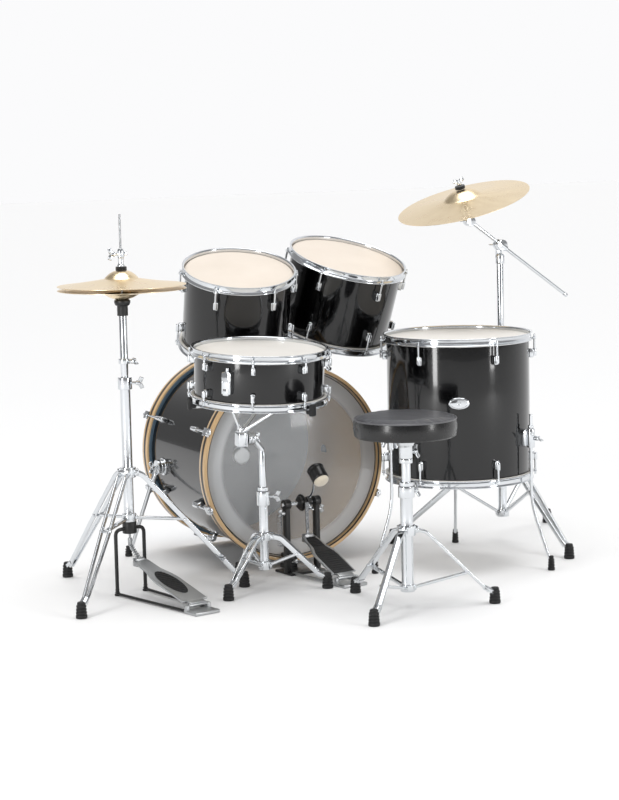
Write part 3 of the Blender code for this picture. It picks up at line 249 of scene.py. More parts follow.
# %% Films
def coated_film(name, colour, worn):
    """Polyester film under sprayed grit: 0.8 mm speckle in the bump, broad faint stick marks in the colour."""
    material, tree, shader = finish_of(name, colour, 0.5)
    grain(tree, shader, 0.0008, 0.00002)
    where = add(tree, "ShaderNodeTexCoord").outputs["Object"]
    marks = add(tree, "ShaderNodeTexNoise", {"Vector": where, "Scale": 9.0, "Detail": 4.0})
    tint(tree, marks, shader.inputs["Base Color"], worn, colour)
    return material


def clear_film(centre, inner, outer):
    """Bare polyester film: glossy and mostly see-through, with a frosted damping ring round the edge."""
    material, tree, shader = finish_of("clear polyester film", "#dcdee0", 0.08)
    shader.inputs["IOR"].default_value = 1.6
    where = add(tree, "ShaderNodeTexCoord").outputs["Object"]
    moved = add(tree, "ShaderNodeVectorMath", {0: where, 1: (centre.x, 0, centre.z)}, operation="SUBTRACT")
    flat = add(tree, "ShaderNodeVectorMath", {0: moved.outputs[0], 1: (1, 0, 1)}, operation="MULTIPLY")
    reach = add(tree, "ShaderNodeVectorMath", {0: flat.outputs[0]}, operation="LENGTH")
    frosted = add(
        tree, "ShaderNodeMapRange",
        {"Value": reach.outputs["Value"], "From Min": inner, "From Max": outer, "To Min": 0.22, "To Max": 0.58},
        interpolation_type="SMOOTHSTEP",
    )
    tree.links.new(frosted.outputs[0], shader.inputs["Alpha"])
    return material


def dark_film():
    """Ebony-coloured film on the front: dark, glossy and a little blue. Some light comes through it."""
    material, tree, shader = finish_of("ebony film", "#5b7080", 0.18, Alpha=0.78)
    grain(tree, shader, 0.02, 0.00004)
    return material


def maple(name, light, dark, gloss):
    """Maple veneer under clear varnish: grain lines about 3 mm apart along the bend, in soft brown."""
    material, tree, shader = finish_of(name, light, gloss)
    noise = grain(tree, shader, 0.003, 0.00002, 4.0, "UV", (0.06, 1, 1))
    tint(tree, noise, shader.inputs["Base Color"], dark, light)
    shader.inputs["Coat Weight"].default_value = 0.6
    shader.inputs["Coat Roughness"].default_value = 0.08
    return material


CREAM_FILM = coated_film("cream coated film", "#f0e5d8", "#e2d5c6")
WHITE_FILM = coated_film("white coated film", "#eeebe6", "#e1ddd6")
EBONY_FILM = dark_film()
HOOP_MAPLE = maple("varnished maple hoop", "#dfc093", "#c79f6b", 0.28)
SHELL_MAPLE = maple("bare maple shell", "#f0dcbd", "#dcc09a", 0.50)


# %% Soft finishes
def rubber():
    """Moulded rubber: dark grey rather than black, and never shiny."""
    material, tree, shader = finish_of("moulded rubber", "#141415", 0.62)
    grain(tree, shader, 0.0012, 0.00004)
    return material


def felt(name, colour, shade):
    """Pressed wool felt: short fibres 0.8 mm apart, which catch light at the edges as a sheen."""
    material, tree, shader = finish_of(name, colour, 0.95)
    shader.inputs["Sheen Weight"].default_value = 0.5
    shader.inputs["Sheen Roughness"].default_value = 0.5
    noise = grain(tree, shader, 0.0008, 0.0002, 5.0)
    tint(tree, noise, shader.inputs["Base Color"], shade, colour)
    return material


def vinyl(name, colour, gloss):
    """Upholstery vinyl: cloth-backed PVC with a leather grain of cells about 1.6 mm across."""
    material, tree, shader = finish_of(name, colour, gloss)
    where = add(tree, "ShaderNodeTexCoord").outputs["Object"]
    cells = add(
        tree, "ShaderNodeTexVoronoi", {"Vector": where, "Scale": 1 / 0.0016, "Smoothness": 0.6},
        feature="SMOOTH_F1",
    )
    bump = add(
        tree, "ShaderNodeBump", {"Height": cells.outputs["Distance"], "Distance": 0.00006, "Strength": 1.0}
    )
    tree.links.new(bump.outputs[0], shader.inputs["Normal"])
    noise = add(tree, "ShaderNodeTexNoise", {"Vector": where, "Scale": 25.0, "Detail": 3.0})
    vary(tree, noise, shader.inputs["Roughness"], gloss - 0.02, gloss + 0.03)
    shader.inputs["Coat Weight"].default_value = 0.15
    return material


RUBBER = rubber()
BLACK_FELT = felt("black felt", "#1d1c1c", "#0d0d0d")
CREAM_FELT = felt("cream felt", "#e5dccb", "#cfc3ae")
TOP_VINYL = vinyl("satin vinyl", "#3a3b40", 0.38)
SIDE_VINYL = vinyl("glossy vinyl", "#0c0c0d", 0.26)
PIPING = vinyl("grey piping vinyl", "#5d5d60", 0.40)
BLACK_PLASTIC = finish_of("black nylon", "#101011", 0.30)[0]
print("finishes in all:", len(bpy.data.materials))

# %% [markdown]
# ## Shapes
# Almost everything on a drum kit is either turned, like a hoop, a collar or a foot, or bent from rod and strap.
# So there are three makers: one turns an outline, one carries a section along a path, and one makes a block with
# its edges eased. Real edges are never quite sharp, and it is the small round on each edge that catches the
# light, so outlines and paths go through a function that rounds their corners.


# %% Makers
def rounded(points, radius, steps=3, closed=False):
    """The same outline or path with each corner turned into a small arc."""
    points = [Vector(p) for p in points]
    count = len(points)
    out = []
    for k, point in enumerate(points):
        if not closed and k in (0, count - 1):
            out.append(point)
            continue
        before, after = points[k - 1] - point, points[(k + 1) % count] - point
        reach = min(radius, before.length * 0.45, after.length * 0.45)
        start, end = point + before.normalized() * reach, point + after.normalized() * reach
        for step in range(steps + 1):
            t = step / steps
            out.append(start * (1 - t) ** 2 + point * 2 * t * (1 - t) + end * t**2)
    return out


def mesh_of(bm, matrix=None):
    """A mesh from a closed shape, facing outwards and in its place."""
    bm.loops.layers.uv.verify()
    bmesh.ops.recalc_face_normals(bm, faces=bm.faces)
    mesh = bpy.data.meshes.new("shape")
    bm.to_mesh(mesh)
    bm.free()
    if matrix is not None:
        mesh.transform(matrix)
    return mesh


def aim(at, axis=(0, 0, 1)):
    """The matrix that carries +Z onto an axis and the origin to a point."""
    turn = Vector((0, 0, 1)).rotation_difference(Vector(axis))
    return Matrix.Translation(at) @ turn.to_matrix().to_4x4()


def turned(profile, at=(0, 0, 0), axis=(0, 0, 1), sides=48, ring=False, ease=0.0):
    """A turned solid from (radius, height) points. Its UVs run round it and along the outline, in metres."""
    if ease:
        profile = rounded(profile, ease, closed=ring)
    profile = [Vector(p) for p in profile]
    if ring:
        profile.append(profile[0])
    run, total = [0.0], 0.0
    for a, b in zip(profile, profile[1:]):
        total += (b - a).length
        run.append(total)
    wide = max(p.x for p in profile)
    bm = bmesh.new()
    uv = bm.loops.layers.uv.verify()
    rings = []
    for point in profile[:-1] if ring else profile:
        count = sides if point.x > 1e-6 else 1
        rings.append([
            bm.verts.new(
                (point.x * math.cos(math.tau * k / sides), point.x * math.sin(math.tau * k / sides), point.y)
            )
            for k in range(count)
        ])
    if ring:
        rings.append(rings[0])
    for row, (low, high) in enumerate(zip(rings, rings[1:])):
        for k in range(sides):
            spots = [(low, k, row), (low, k + 1, row), (high, k + 1, row + 1), (high, k, row + 1)]
            corners = {}
            for loop, step, level in spots:
                vert = loop[step % len(loop)]
                corners.setdefault(vert, (math.tau * step / sides * wide, run[level]))
            if len(corners) < 3:
                continue
            face = bm.faces.new(list(corners))
            for corner in face.loops:
                corner[uv].uv = corners[corner.vert]
    return mesh_of(bm, aim(at, axis))


def disc(radius, start, end, at=(0, 0, 0), axis=(0, 0, 1), sides=32, ease=0.0008):
    """A solid cylinder with eased rims."""
    return turned([(0, start), (radius, start), (radius, end), (0, end)], at, axis, sides, ease=ease)


def swept(points, section, side=None, ease=0.0):
    """A section of (across, up) points carried along a path, with its ends closed."""
    points = rounded(points, ease, 5) if ease else [Vector(p) for p in points]
    ways = [(b - a).normalized() for a, b in zip(points, points[1:])]
    across = Vector(side) if side else ways[0].cross(Vector((0, 0, 1)))
    if across.length < 1e-6:
        across = Vector((1, 0, 0))
    across = (across - ways[0] * across.dot(ways[0])).normalized()
    up = ways[0].cross(across)
    spots = [points[0] + across * x + up * y for x, y in section]
    bm = bmesh.new()
    rings = [[bm.verts.new(p) for p in spots]]
    for k, way in enumerate(ways):
        plane = (way + ways[k + 1]).normalized() if k + 1 < len(ways) else way
        spots = [p + way * ((points[k + 1] - p).dot(plane) / way.dot(plane)) for p in spots]
        rings.append([bm.verts.new(p) for p in spots])
    count = len(section)
    for low, high in zip(rings, rings[1:]):
        for k in range(count):
            bm.faces.new((low[k], low[(k + 1) % count], high[(k + 1) % count], high[k]))
    bm.faces.new(rings[0])
    bm.faces.new(rings[-1])
    return mesh_of(bm)


def rod(points, radius, ease=0.0, sides=20):
    """A round rod along a path."""
    section = [tuple(polar(radius, 360 * k / sides))[:2] for k in range(sides)]
    return swept(points, section, ease=ease)


def strap(points, width, depth, side, ease=0.010):
    """A flat bar with eased edges along a path. side is across its width."""
    x, y = width / 2, depth / 2
    section = rounded([(x, y), (-x, y), (-x, -y), (x, -y)], min(x, y) * 0.55, closed=True)
    return swept(points, section, side, ease)


def block(size, at=(0, 0, 0), turn=(0, 0, 0), edge=0.0015):
    """A box with eased edges about a point, turned by angles in degrees."""
    bm = bmesh.new()
    bmesh.ops.create_cube(bm, size=1.0)
    bmesh.ops.scale(bm, vec=size, verts=bm.verts)
    edge = min(edge, min(size) * 0.45)
    bmesh.ops.bevel(bm, geom=bm.edges[:], offset=edge, segments=3, profile=0.5, affect="EDGES")
    place = Matrix.Translation(at) @ Euler([math.radians(a) for a in turn]).to_matrix().to_4x4()
    return mesh_of(bm, place)


def moved(mesh, matrix):
    mesh.transform(matrix)
    return mesh


def polar(radius, degrees, height=0.0):
    """A point at a distance and an angle from the Z axis."""
    angle = math.radians(degrees)
    return Vector((radius * math.cos(angle), radius * math.sin(angle), height))


# %% [markdown]
# ## Handing a piece over
# Each piece is joined into one mesh with its place in its vertices, so that its object sits at the origin. Then
# it is put on the moving body it rides on, the imported model's nodes that it stands for are hidden, and it gets
# the finish it is given.


def piece(name, shapes, material, body, stands_for=(), matrix=None, crease=35):
    """One visible piece from several closed shapes, with the one finish it is given."""
    bm = bmesh.new()
    for mesh in shapes:
        bm.from_mesh(mesh)
        bpy.data.meshes.remove(mesh)
    mesh = bpy.data.meshes.new(name)
    bm.to_mesh(mesh)
    bm.free()
    if matrix is not None:
        mesh.transform(matrix)
    mesh.shade_smooth()
    mesh.set_sharp_from_angle(angle=math.radians(crease))
    mesh.materials.append(material)
    made = bpy.data.objects.new(name, mesh)
    bpy.context.scene.collection.objects.link(made)
    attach(made, body)
    if stands_for:
        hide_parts(*stands_for)
    return made


# %% [markdown]
# ## What repeats round a drum
# A drum has the same lug, rod and washer six or eight times round it. Geometry Nodes place one model of each at
# even steps on a circle, turned to face outwards. A second tree sets pieces at even steps along a straight line,
# for chain links, snare wires and the grip bars of a footboard. Both end by making the copies real and giving
# them their finish, because copies that are only referred to don't survive an export.


# %% Node trees
def tree_with(name, sizes):
    """An empty Geometry Nodes tree with named inputs, given as (name, socket kind)."""
    tree = bpy.data.node_groups.new(name, "GeometryNodeTree")
    tree.interface.new_socket("Geometry", in_out="INPUT", socket_type="NodeSocketGeometry")
    for label, kind in sizes:
        tree.interface.new_socket(label, in_out="INPUT", socket_type=kind)
    tree.interface.new_socket("Geometry", in_out="OUTPUT", socket_type="NodeSocketGeometry")
    return tree, tree.nodes.new("NodeGroupInput").outputs


def end_tree(tree, instances, material):
    """Makes the copies real, gives them their finish and sends them out."""
    real = add(tree, "GeometryNodeRealizeInstances", {0: instances})
    set_finish = add(tree, "GeometryNodeSetMaterial", {"Geometry": real.outputs[0], "Material": material})
    add(tree, "NodeGroupOutput", {0: set_finish.outputs[0]})
    return tree


def circle_tree():
    sizes = [
        ("Piece", "NodeSocketObject"), ("Count", "NodeSocketInt"), ("Radius", "NodeSocketFloat"),
        ("First angle", "NodeSocketFloat"), ("Height", "NodeSocketFloat"), ("Material", "NodeSocketMaterial"),
    ]
    tree, given = tree_with("set round a circle", sizes)
    points = add(tree, "GeometryNodePoints", {"Count": given["Count"]})
    index = add(tree, "GeometryNodeInputIndex")
    step = add(tree, "ShaderNodeMath", {0: math.tau, 1: given["Count"]}, operation="DIVIDE")
    angle = add(
        tree, "ShaderNodeMath", {0: index.outputs[0], 1: step.outputs[0], 2: given["First angle"]},
        operation="MULTIPLY_ADD",
    )
    turn = add(tree, "ShaderNodeCombineXYZ", {"Z": angle.outputs[0]})
    start = add(tree, "ShaderNodeCombineXYZ", {"X": given["Radius"], "Z": given["Height"]})
    spot = add(
        tree, "ShaderNodeVectorRotate", {"Vector": start.outputs[0], "Angle": angle.outputs[0]},
        rotation_type="Z_AXIS",
    )
    placed = add(tree, "GeometryNodeSetPosition", {"Geometry": points.outputs[0], "Position": spot.outputs[0]})
    model = add(tree, "GeometryNodeObjectInfo", {"Object": given["Piece"]})
    copies = add(
        tree, "GeometryNodeInstanceOnPoints",
        {"Points": placed.outputs[0], "Instance": model.outputs["Geometry"], "Rotation": turn.outputs[0]},
    )
    return end_tree(tree, copies.outputs[0], given["Material"])


def line_tree():
    sizes = [
        ("Piece", "NodeSocketObject"), ("Count", "NodeSocketInt"), ("Start", "NodeSocketVector"),
        ("Step", "NodeSocketVector"), ("Roll", "NodeSocketFloat"), ("Material", "NodeSocketMaterial"),
    ]
    tree, given = tree_with("set along a line", sizes)
    line = add(
        tree, "GeometryNodeMeshLine",
        {"Count": given["Count"], "Start Location": given["Start"], "Offset": given["Step"]},
        mode="OFFSET",
    )
    index = add(tree, "GeometryNodeInputIndex")
    roll = add(tree, "ShaderNodeMath", {0: index.outputs[0], 1: given["Roll"]}, operation="MULTIPLY")
    turn = add(tree, "ShaderNodeCombineXYZ", {"Z": roll.outputs[0]})
    model = add(tree, "GeometryNodeObjectInfo", {"Object": given["Piece"]})
    copies = add(
        tree, "GeometryNodeInstanceOnPoints",
        {"Points": line.outputs[0], "Instance": model.outputs["Geometry"], "Rotation": turn.outputs[0]},
    )
    return end_tree(tree, copies.outputs[0], given["Material"])


CIRCLE, LINE = circle_tree(), line_tree()


def repeated(tree, shapes, **values):
    """One plain mesh of all the copies that a tree makes of some shapes."""
    bm = bmesh.new()
    for mesh in shapes:
        bm.from_mesh(mesh)
        bpy.data.meshes.remove(mesh)
    model_mesh = bpy.data.meshes.new("model")
    bm.to_mesh(model_mesh)
    bm.free()
    model = bpy.data.objects.new("model", model_mesh)
    holder = bpy.data.objects.new("holder", bpy.data.meshes.new("holder"))
    for made in (model, holder):
        bpy.context.scene.collection.objects.link(made)
    modifier = holder.modifiers.new("copies", "NODES")
    modifier.node_group = tree
    values = {"Piece": model, "Material": CHROME, **values}
    for item in tree.interface.items_tree:
        if item.item_type == "SOCKET" and item.in_out == "INPUT" and item.name in values:
            modifier[item.identifier] = values[item.name]
    bpy.context.view_layer.update()
    graph = bpy.context.evaluated_depsgraph_get()
    result = bpy.data.meshes.new_from_object(holder.evaluated_get(graph), depsgraph=graph)
    for made in (model, holder):
        bpy.data.objects.remove(made)
    result.materials.clear()
    return result


def round_drum(shapes, count, radius, first, height=0.0):
    """Copies of some shapes round a circle, the first at an angle in degrees."""
    return repeated(
        CIRCLE, shapes, Count=count, Radius=radius, Height=height, **{"First angle": math.radians(first)}
    )


print("node trees:", [tree.name for tree in (CIRCLE, LINE)])

# %% [markdown]
# ## Drums with steel hoops
# A tom or a snare is a shell with a film head pulled over each end. The head's collar is clamped by a hoop of
# pressed steel whose top is rolled outwards, and tension rods pull the hoop towards lugs on the shell. The shell
# and hoops are turned, and the lugs, rods, washers and the hoop's ears are set round the circle. The drum is
# made upright round its own middle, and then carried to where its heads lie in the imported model.

# %% Drum sizes
DRUM_SIDES = 128
FLESH = 0.0077  # flesh hoop beyond the shell
FILM_ABOVE_EDGE = 0.0015
RIM = 0.010  # hoop above the film
WALL = 0.007
ROD_OUT = 0.0150
EAR_OUT = 0.0195


def middle_of(node):
    """The mean of a CAD node's corners."""
    corners = frame["nodes"][node].data.vertices
    return sum((v.co for v in corners), Vector()) / len(corners)


def drum_frame(prefix):
    """(matrix, shell radius, height of the film above the middle) of a drum, from its two heads."""
    top, bottom = middle_of(prefix + "_top_head"), middle_of(prefix + "_bottom_head")
    way = (top - bottom).normalized()
    turn = Euler((-math.asin(way.y), math.atan2(way.x, way.z), 0)).to_matrix().to_4x4()
    matrix = Matrix.Translation((top + bottom) / 2) @ turn
    inverse = matrix.inverted()
    local = [inverse @ v.co for v in frame["nodes"][prefix + "_top_head"].data.vertices]
    radius = max(math.hypot(v.x, v.y) for v in local) - FLESH
    return matrix, radius, max(v.z for v in local)


# %% Drum parts
def shell_ring(radius, edge):
    """A ply shell with its bearing edges cut back at 45 degrees."""
    outline = [
        (radius, -edge + 0.002), (radius, edge - 0.002), (radius - 0.002, edge),
        (radius - WALL, edge - 0.004), (radius - WALL, -edge + 0.004), (radius - 0.002, -edge),
    ]
    return turned(outline, sides=DRUM_SIDES, ring=True, ease=0.0006)


def head(radius, film, way):
    """The film with its rounded collar, and the flesh hoop that it is glued into."""
    outline = [
        (0, film), (radius - 0.004, film), (radius + 0.0020, film - 0.0016), (radius + 0.0022, film - 0.0078),
        (radius + FLESH, film - 0.0078), (radius + FLESH, film - 0.0135), (radius + 0.0006, film - 0.0135),
        (radius + 0.0006, film - 0.0016), (radius - 0.004, film - 0.0011), (0, film - 0.0011),
    ]
    return turned([(r, way * h) for r, h in rounded(outline, 0.0012)], sides=DRUM_SIDES)


def hoop(radius, film, way):
    """A triple-flanged hoop: a foot on the flesh hoop, a wall, and a rolled rim."""
    outline = [
        (radius + 0.0082, film - 0.0125), (radius + 0.0118, film - 0.0125), (radius + 0.0122, film - 0.0100),
        (radius + 0.0088, film - 0.0072), (radius + 0.0060, film - 0.0050), (radius + 0.0056, film + 0.0050),
        (radius + 0.0068, film + 0.0072), (radius + 0.0104, film + 0.0078), (radius + 0.0106, film + RIM),
        (radius + 0.0060, film + RIM), (radius + 0.0034, film + 0.0070), (radius + 0.0034, film - 0.0050),
        (radius + 0.0050, film - 0.0074), (radius + 0.0082, film - 0.0074),
    ]
    return turned([(r, way * h) for r, h in outline], sides=DRUM_SIDES, ring=True, ease=0.0012)


def ear_and_rod(film, way, drop):
    """One ear of the hoop, with the rod through it, its washer and its square key head."""
    out = EAR_OUT - 0.0088
    low, high = film - drop, film - 0.0090
    return [
        block((out, 0.013, 0.0030), (EAR_OUT - ROD_OUT - out / 2, 0, way * (film - 0.0104)), edge=0.0012),
        disc(0.0030, *sorted((way * low, way * high)), sides=16, ease=0.0),
        disc(0.0052, *sorted((way * (film - 0.0088), way * (film - 0.0072))), sides=20),
        disc(0.0040, *sorted((way * (film - 0.0072), way * (film - 0.0045))), sides=20),
        block((0.0052, 0.0052, 0.0075), (0, 0, way * (film - 0.0015)), edge=0.0008),
    ]


def lug(film, way, drop, length):
    """One lug: a cast box with a round nut housing that the rod goes into."""
    middle = way * (film - drop - length / 2)
    nose = way * (film - drop)
    return [
        block((0.0155, 0.0135, length - 0.002), (-0.0095, 0, middle), edge=0.0035),
        disc(0.0058, *sorted((nose, nose - way * length * 0.8)), sides=24, ease=0.0015),
        disc(0.0030, 0.0, 0.0012, at=(-0.0017, 0, middle), axis=(1, 0, 0), sides=12, ease=0.0004),
    ]


def drum(prefix, body, count, first, drop, length, skin, extra=()):
    """A whole drum: shell, heads, hoops with their rods, and lugs."""
    matrix, radius, film = drum_frame(prefix)
    shell = [shell_ring(radius, film - FILM_ABOVE_EDGE)]
    piece(prefix + "_lacquered_shell", shell, LACQUER, body, [prefix + "_shell"], matrix)
    lugs = [round_drum(lug(film, way, drop, length), count, radius + ROD_OUT, first) for way in (1, -1)]
    piece(prefix + "_lugs", [*lugs, *extra], CHROME, body, matrix=matrix)
    for side, way, film_finish in (("top", 1, skin), ("bottom", -1, WHITE_FILM)):
        node = f"{prefix}_{side}_head"
        piece(f"{prefix}_{side}_film", [head(radius, film, way)], film_finish, body, [node], matrix)
        rods = round_drum(ear_and_rod(film, way, drop), count, radius + ROD_OUT, first)
        rim = [hoop(radius, film, way), rods]
        node = f"{prefix}_{side}_hoop"
        piece(f"{prefix}_{side}_rim", rim, CHROME, body, [node], matrix)
    print(prefix, "shell radius", round(radius, 4), "height", round(2 * (film + RIM), 3))
    return matrix, radius, film


# %% [markdown]
# ## Wing bolts, collars and feet
# The stands share their small parts. A wing bolt is a stem with two ears to turn it by, a collar is a turned
# sleeve with a slit, and a foot is a ribbed rubber boot on the end of a leg.


# %% Small parts
LEG_STRAP = (0.005, 0.014)


def wing_bolt(at, axis, spread=0.034, reach=0.022):
    """A threaded stem, a round nut and two flat ears."""
    place = aim(at, axis)
    shapes = [
        disc(0.0040, 0.0, reach, sides=20),
        disc(0.0068, reach - 0.009, reach + 0.003, sides=24, ease=0.0015),
    ]
    for way in (-1, 1):
        ear = (way * spread * 0.29, 0, reach + 0.004)
        shapes.append(block((spread * 0.46, 0.0042, 0.012), ear, (0, -way * 24, 0), edge=0.0020))
    return [moved(mesh, place) for mesh in shapes]


def boot(radius, height, ribs=4, at=(0, 0, 0)):
    """A rubber foot: flat below, with raised ribs round it and a soft shoulder."""
    outline = [(0, 0), (radius * 0.92, 0), (radius, 0.003)]
    for k in range(ribs):
        low = 0.004 + k * (height - 0.010) / ribs
        high = low + (height - 0.010) / ribs
        wide = radius * (1 - 0.16 * (k + 0.5) / ribs)
        outline += [(wide, low), (wide, high - 0.0034), (wide - 0.0026, high - 0.0026), (wide - 0.0026, high)]
    outline += [(radius * 0.74, height - 0.004), (radius * 0.60, height), (0, height)]
    return turned(outline, at, sides=32, ease=0.0006)


def collar_on(tube, bands):
    """The outline of a tube from its foot up, swelling into (low, high, radius) collars."""
    outline = []
    for low, high, size in bands:
        outline += [(tube, low), (size, low), (size, high), (tube, high)]
    return outline


def lock_ring(bore, size, low, high):
    """The ring on top of a sleeve, which the post slides through."""
    return turned([(bore, low), (size, low), (size, high), (bore, high)], sides=40, ring=True, ease=0.0012)


def tripod(feet, first, start, knee, foot_top, joint, brace, spread, size):
    """
    The chrome and the rubber of three legs. feet is how far out they stand, first the angle of one of them;
    start, knee and brace are (distance, height) of the leg's top, its bend and the brace's lower end; joint is
    how far down the leg the brace meets it; spread is the gap between a leg's two straps, and 0 for one strap.
    """
    metal, boots = [], []
    for k in range(3):
        angle = first + 120.0 * k
        side = polar(1.0, angle + 90.0)
        top = [polar(start[0], angle, start[1]), polar(knee[0], angle, knee[1])]
        ankle = polar(feet - 0.018, angle, foot_top)
        meet = top[1].lerp(ankle, joint)
        offsets = (-spread / 2, spread / 2) if spread else (0.0,)
        for offset in offsets:
            path = [top[0] + side * offset, top[1] + side * offset, meet + side * offset]
            path.append(ankle + side * offset * (0.45 if spread else 1.0))
            metal.append(strap(path, *size, side, 0.012))
        half = spread / 2 + 0.005 if spread else size[0] / 2 + 0.0025
        for pin in (meet, top[0] + (top[1] - top[0]) * 0.35):
            metal.append(disc(0.0045, -half, half, at=pin, axis=side, sides=20, ease=0.0012))
        metal.append(strap([polar(brace[0] - 0.004, angle, brace[1]), meet], 0.012, 0.0085, side))
        metal.append(
            block(
                (0.014, half * 2 - 0.001, 0.018), polar(start[0] + 0.010, angle, start[1]), (0, 0, angle), 0.003
            ),
        )
        metal.append(
            block((0.012, 0.016, 0.012), polar(brace[0] + 0.003, angle, brace[1]), (0, 0, angle), 0.002)
        )
        slope = (ankle - meet).normalized()
        toe = polar(feet, angle)
        metal.append(
            strap([ankle - slope * 0.016, toe + Vector((0, 0, 0.030))], size[0] + spread * 0.6, 0.013, side)
        )
        boots.append(boot(0.0158, 0.044, at=toe))
    return metal, boots


# %% [markdown]
# ## The bass drum
# It is lacquered outside and bare maple inside. Its hoops are steam-bent maple with a black line let into
# them, and eight claws on each side hook over the hoop. The film of the near head is clear, so the lining and
# the dark front head behind it are real pieces.

# %% Bass drum sizes
BASS_SIDES = 160
BASS_FIRST = 22.5
BASS_LUGS = 8
BASS_ROD_OUT = 0.0215
HOOP_WIDTH = 0.038
FILM_INSET = 0.0145
LUG_START, LUG_END = 0.085, 0.127


def bass_frame():
    low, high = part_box("bass_batter_head")
    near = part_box("bass_batter_hoop")[0].y + HOOP_LIP
    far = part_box("bass_front_hoop")[1].y - HOOP_LIP
    centre = Vector(((low.x + high.x) / 2, near, (low.z + high.z) / 2))
    matrix = Matrix.Translation(centre) @ Euler((-math.pi / 2, 0, 0)).to_matrix().to_4x4()
    local = [matrix.inverted() @ v.co for v in frame["nodes"]["bass_batter_head"].data.vertices]
    return matrix, max(math.hypot(v.x, v.y) for v in local) - 0.009, far - near


BASS, BASS_RADIUS, BASS_LENGTH = bass_frame()
print("bass drum radius", round(BASS_RADIUS, 4), "length", round(BASS_LENGTH, 4))


# %% Bass drum shell and heads
def bass_shell():
    edge = FILM_INSET + FILM_ABOVE_EDGE
    outer, inner = BASS_RADIUS, BASS_RADIUS - WALL
    wall = [
        (outer, edge), (outer, BASS_LENGTH - edge), (outer - 0.003, BASS_LENGTH - edge), (outer - 0.003, edge)
    ]
    piece(
        "bass_lacquered_shell", [turned(wall, sides=BASS_SIDES, ring=True)], LACQUER, "kit", ["bass_shell"],
        BASS,
    )
    wall = [
        (outer - 0.003, edge), (outer - 0.003, BASS_LENGTH - edge), (inner, BASS_LENGTH - edge - 0.004),
        (inner, edge + 0.004),
    ]
    piece("bass_maple_lining", [turned(wall, sides=BASS_SIDES, ring=True)], SHELL_MAPLE, "kit", matrix=BASS)
    lug_shapes = [
        block((0.024, 0.0150, LUG_END - LUG_START), (-0.010, 0, (LUG_START + LUG_END) / 2), edge=0.0045),
        disc(0.0066, LUG_START + 0.0003, LUG_END - 0.008, sides=24, ease=0.002),
    ]
    turned_over = Matrix.Translation((0, 0, BASS_LENGTH)) @ Matrix.Rotation(math.pi, 4, "X")
    far = [moved(mesh.copy(), turned_over) for mesh in lug_shapes]
    lugs = [
        round_drum(shapes, BASS_LUGS, BASS_RADIUS + BASS_ROD_OUT, BASS_FIRST) for shapes in (lug_shapes, far)
    ]
    piece("bass_lugs", lugs, CHROME, "kit", matrix=BASS)


def bass_head(name, node, finish, flip):
    """The film with its collar and flesh hoop, on the near side or flipped to the far one."""
    outer = BASS_RADIUS
    outline = [
        (0, FILM_INSET), (outer - 0.006, FILM_INSET), (outer + 0.0022, FILM_INSET + 0.0030),
        (outer + 0.0024, HOOP_WIDTH + GAP), (outer + 0.0088, HOOP_WIDTH + GAP), (
            outer + 0.0088, HOOP_WIDTH + 0.007
        ),
        (outer + 0.0006, HOOP_WIDTH + 0.007), (outer + 0.0006, FILM_INSET + 0.0034),
        (outer - 0.006, FILM_INSET + 0.0008), (0, FILM_INSET + 0.0008),
    ]
    if flip:
        outline = [(r, BASS_LENGTH - h) for r, h in outline]
    piece(name, [turned(outline, sides=BASS_SIDES)], finish, "kit", [node], BASS)


def bass_hoop(side, flip):
    """A bent maple hoop, its inlaid line, a black band of painted shade at its inner corner, and the claws with
    their key rods.
    """
    inner, outer = BASS_RADIUS + 0.0034, BASS_RADIUS + 0.0148
    turn = Matrix.Translation((0, 0, BASS_LENGTH)) @ Matrix.Scale(-1, 4, (0, 0, 1)) if flip else Matrix.Identity(4)

    def placed(outline, ease):
        points = [(r, BASS_LENGTH - h) if flip else (r, h) for r, h in outline]
        return turned(points, sides=BASS_SIDES, ring=True, ease=ease)

    wood = [(inner, 0.0), (outer, 0.0), (outer, HOOP_WIDTH), (inner, HOOP_WIDTH)]
    piece(f"bass_{side}_maple_hoop", [placed(wood, 0.0025)], HOOP_MAPLE, "kit", [f"bass_{side}_hoop"], BASS)
    line = [
        (outer - 0.002, 0.0125), (outer + 0.0003, 0.0125), (outer + 0.0003, 0.0255), (outer - 0.002, 0.0255)
    ]
    # The black band over the hoop's inner corner, beside the head, is painted shade for the gap between them.
    edge = [
        (inner - 0.0004, 0.0010), (inner + 0.0016, -0.0003), (inner + 0.0016, 0.0060), (inner - 0.0004, 0.0060)
    ]
    inlay_and_gap_shade = [placed(line, 0.0), placed(edge, 0.0)]
    piece(f"bass_{side}_inlay", inlay_and_gap_shade, BLACK_PLASTIC, "kit", matrix=BASS)
    hook = [
        (0.0062, 0.0225), (0.0062, 0.0040), (0.0035, -0.0030), (-0.0040, -0.0034), (-0.0052, -0.0030),
        (-0.0062, -0.0006), (-0.0064, 0.0225),
    ]
    bm = bmesh.new()
    sides = []
    for way in (-1, 1):
        sides.append(
            [bm.verts.new((x + 0.001, way * 0.0118, z)) for x, z in rounded(hook, 0.0016, closed=True)]
        )
    count = len(sides[0])
    for k in range(count):
        bm.faces.new((sides[0][k], sides[0][(k + 1) % count], sides[1][(k + 1) % count], sides[1][k]))
    bm.faces.new(sides[0])
    bm.faces.new(sides[1])
    outline_edges = [e for e in bm.edges if abs(e.verts[0].co.y - e.verts[1].co.y) < 1e-6]
    bmesh.ops.bevel(bm, geom=outline_edges, offset=0.0012, segments=2, profile=0.5, affect="EDGES")
    claw = [
        mesh_of(bm),
        disc(0.0034, 0.010, LUG_START + 0.004, sides=16),
        disc(0.0078, -0.0052, 0.004, sides=28, ease=0.0018),
        block((0.0060, 0.0060, 0.007), (0, 0, -0.0075), edge=0.001),
    ]
    if flip:
        for mesh in claw:
            mesh.transform(turn)
            mesh.flip_normals()
    claws = round_drum(claw, BASS_LUGS, BASS_RADIUS + BASS_ROD_OUT, BASS_FIRST)
    piece(f"bass_{side}_claws", [claws], CHROME, "kit", matrix=BASS)


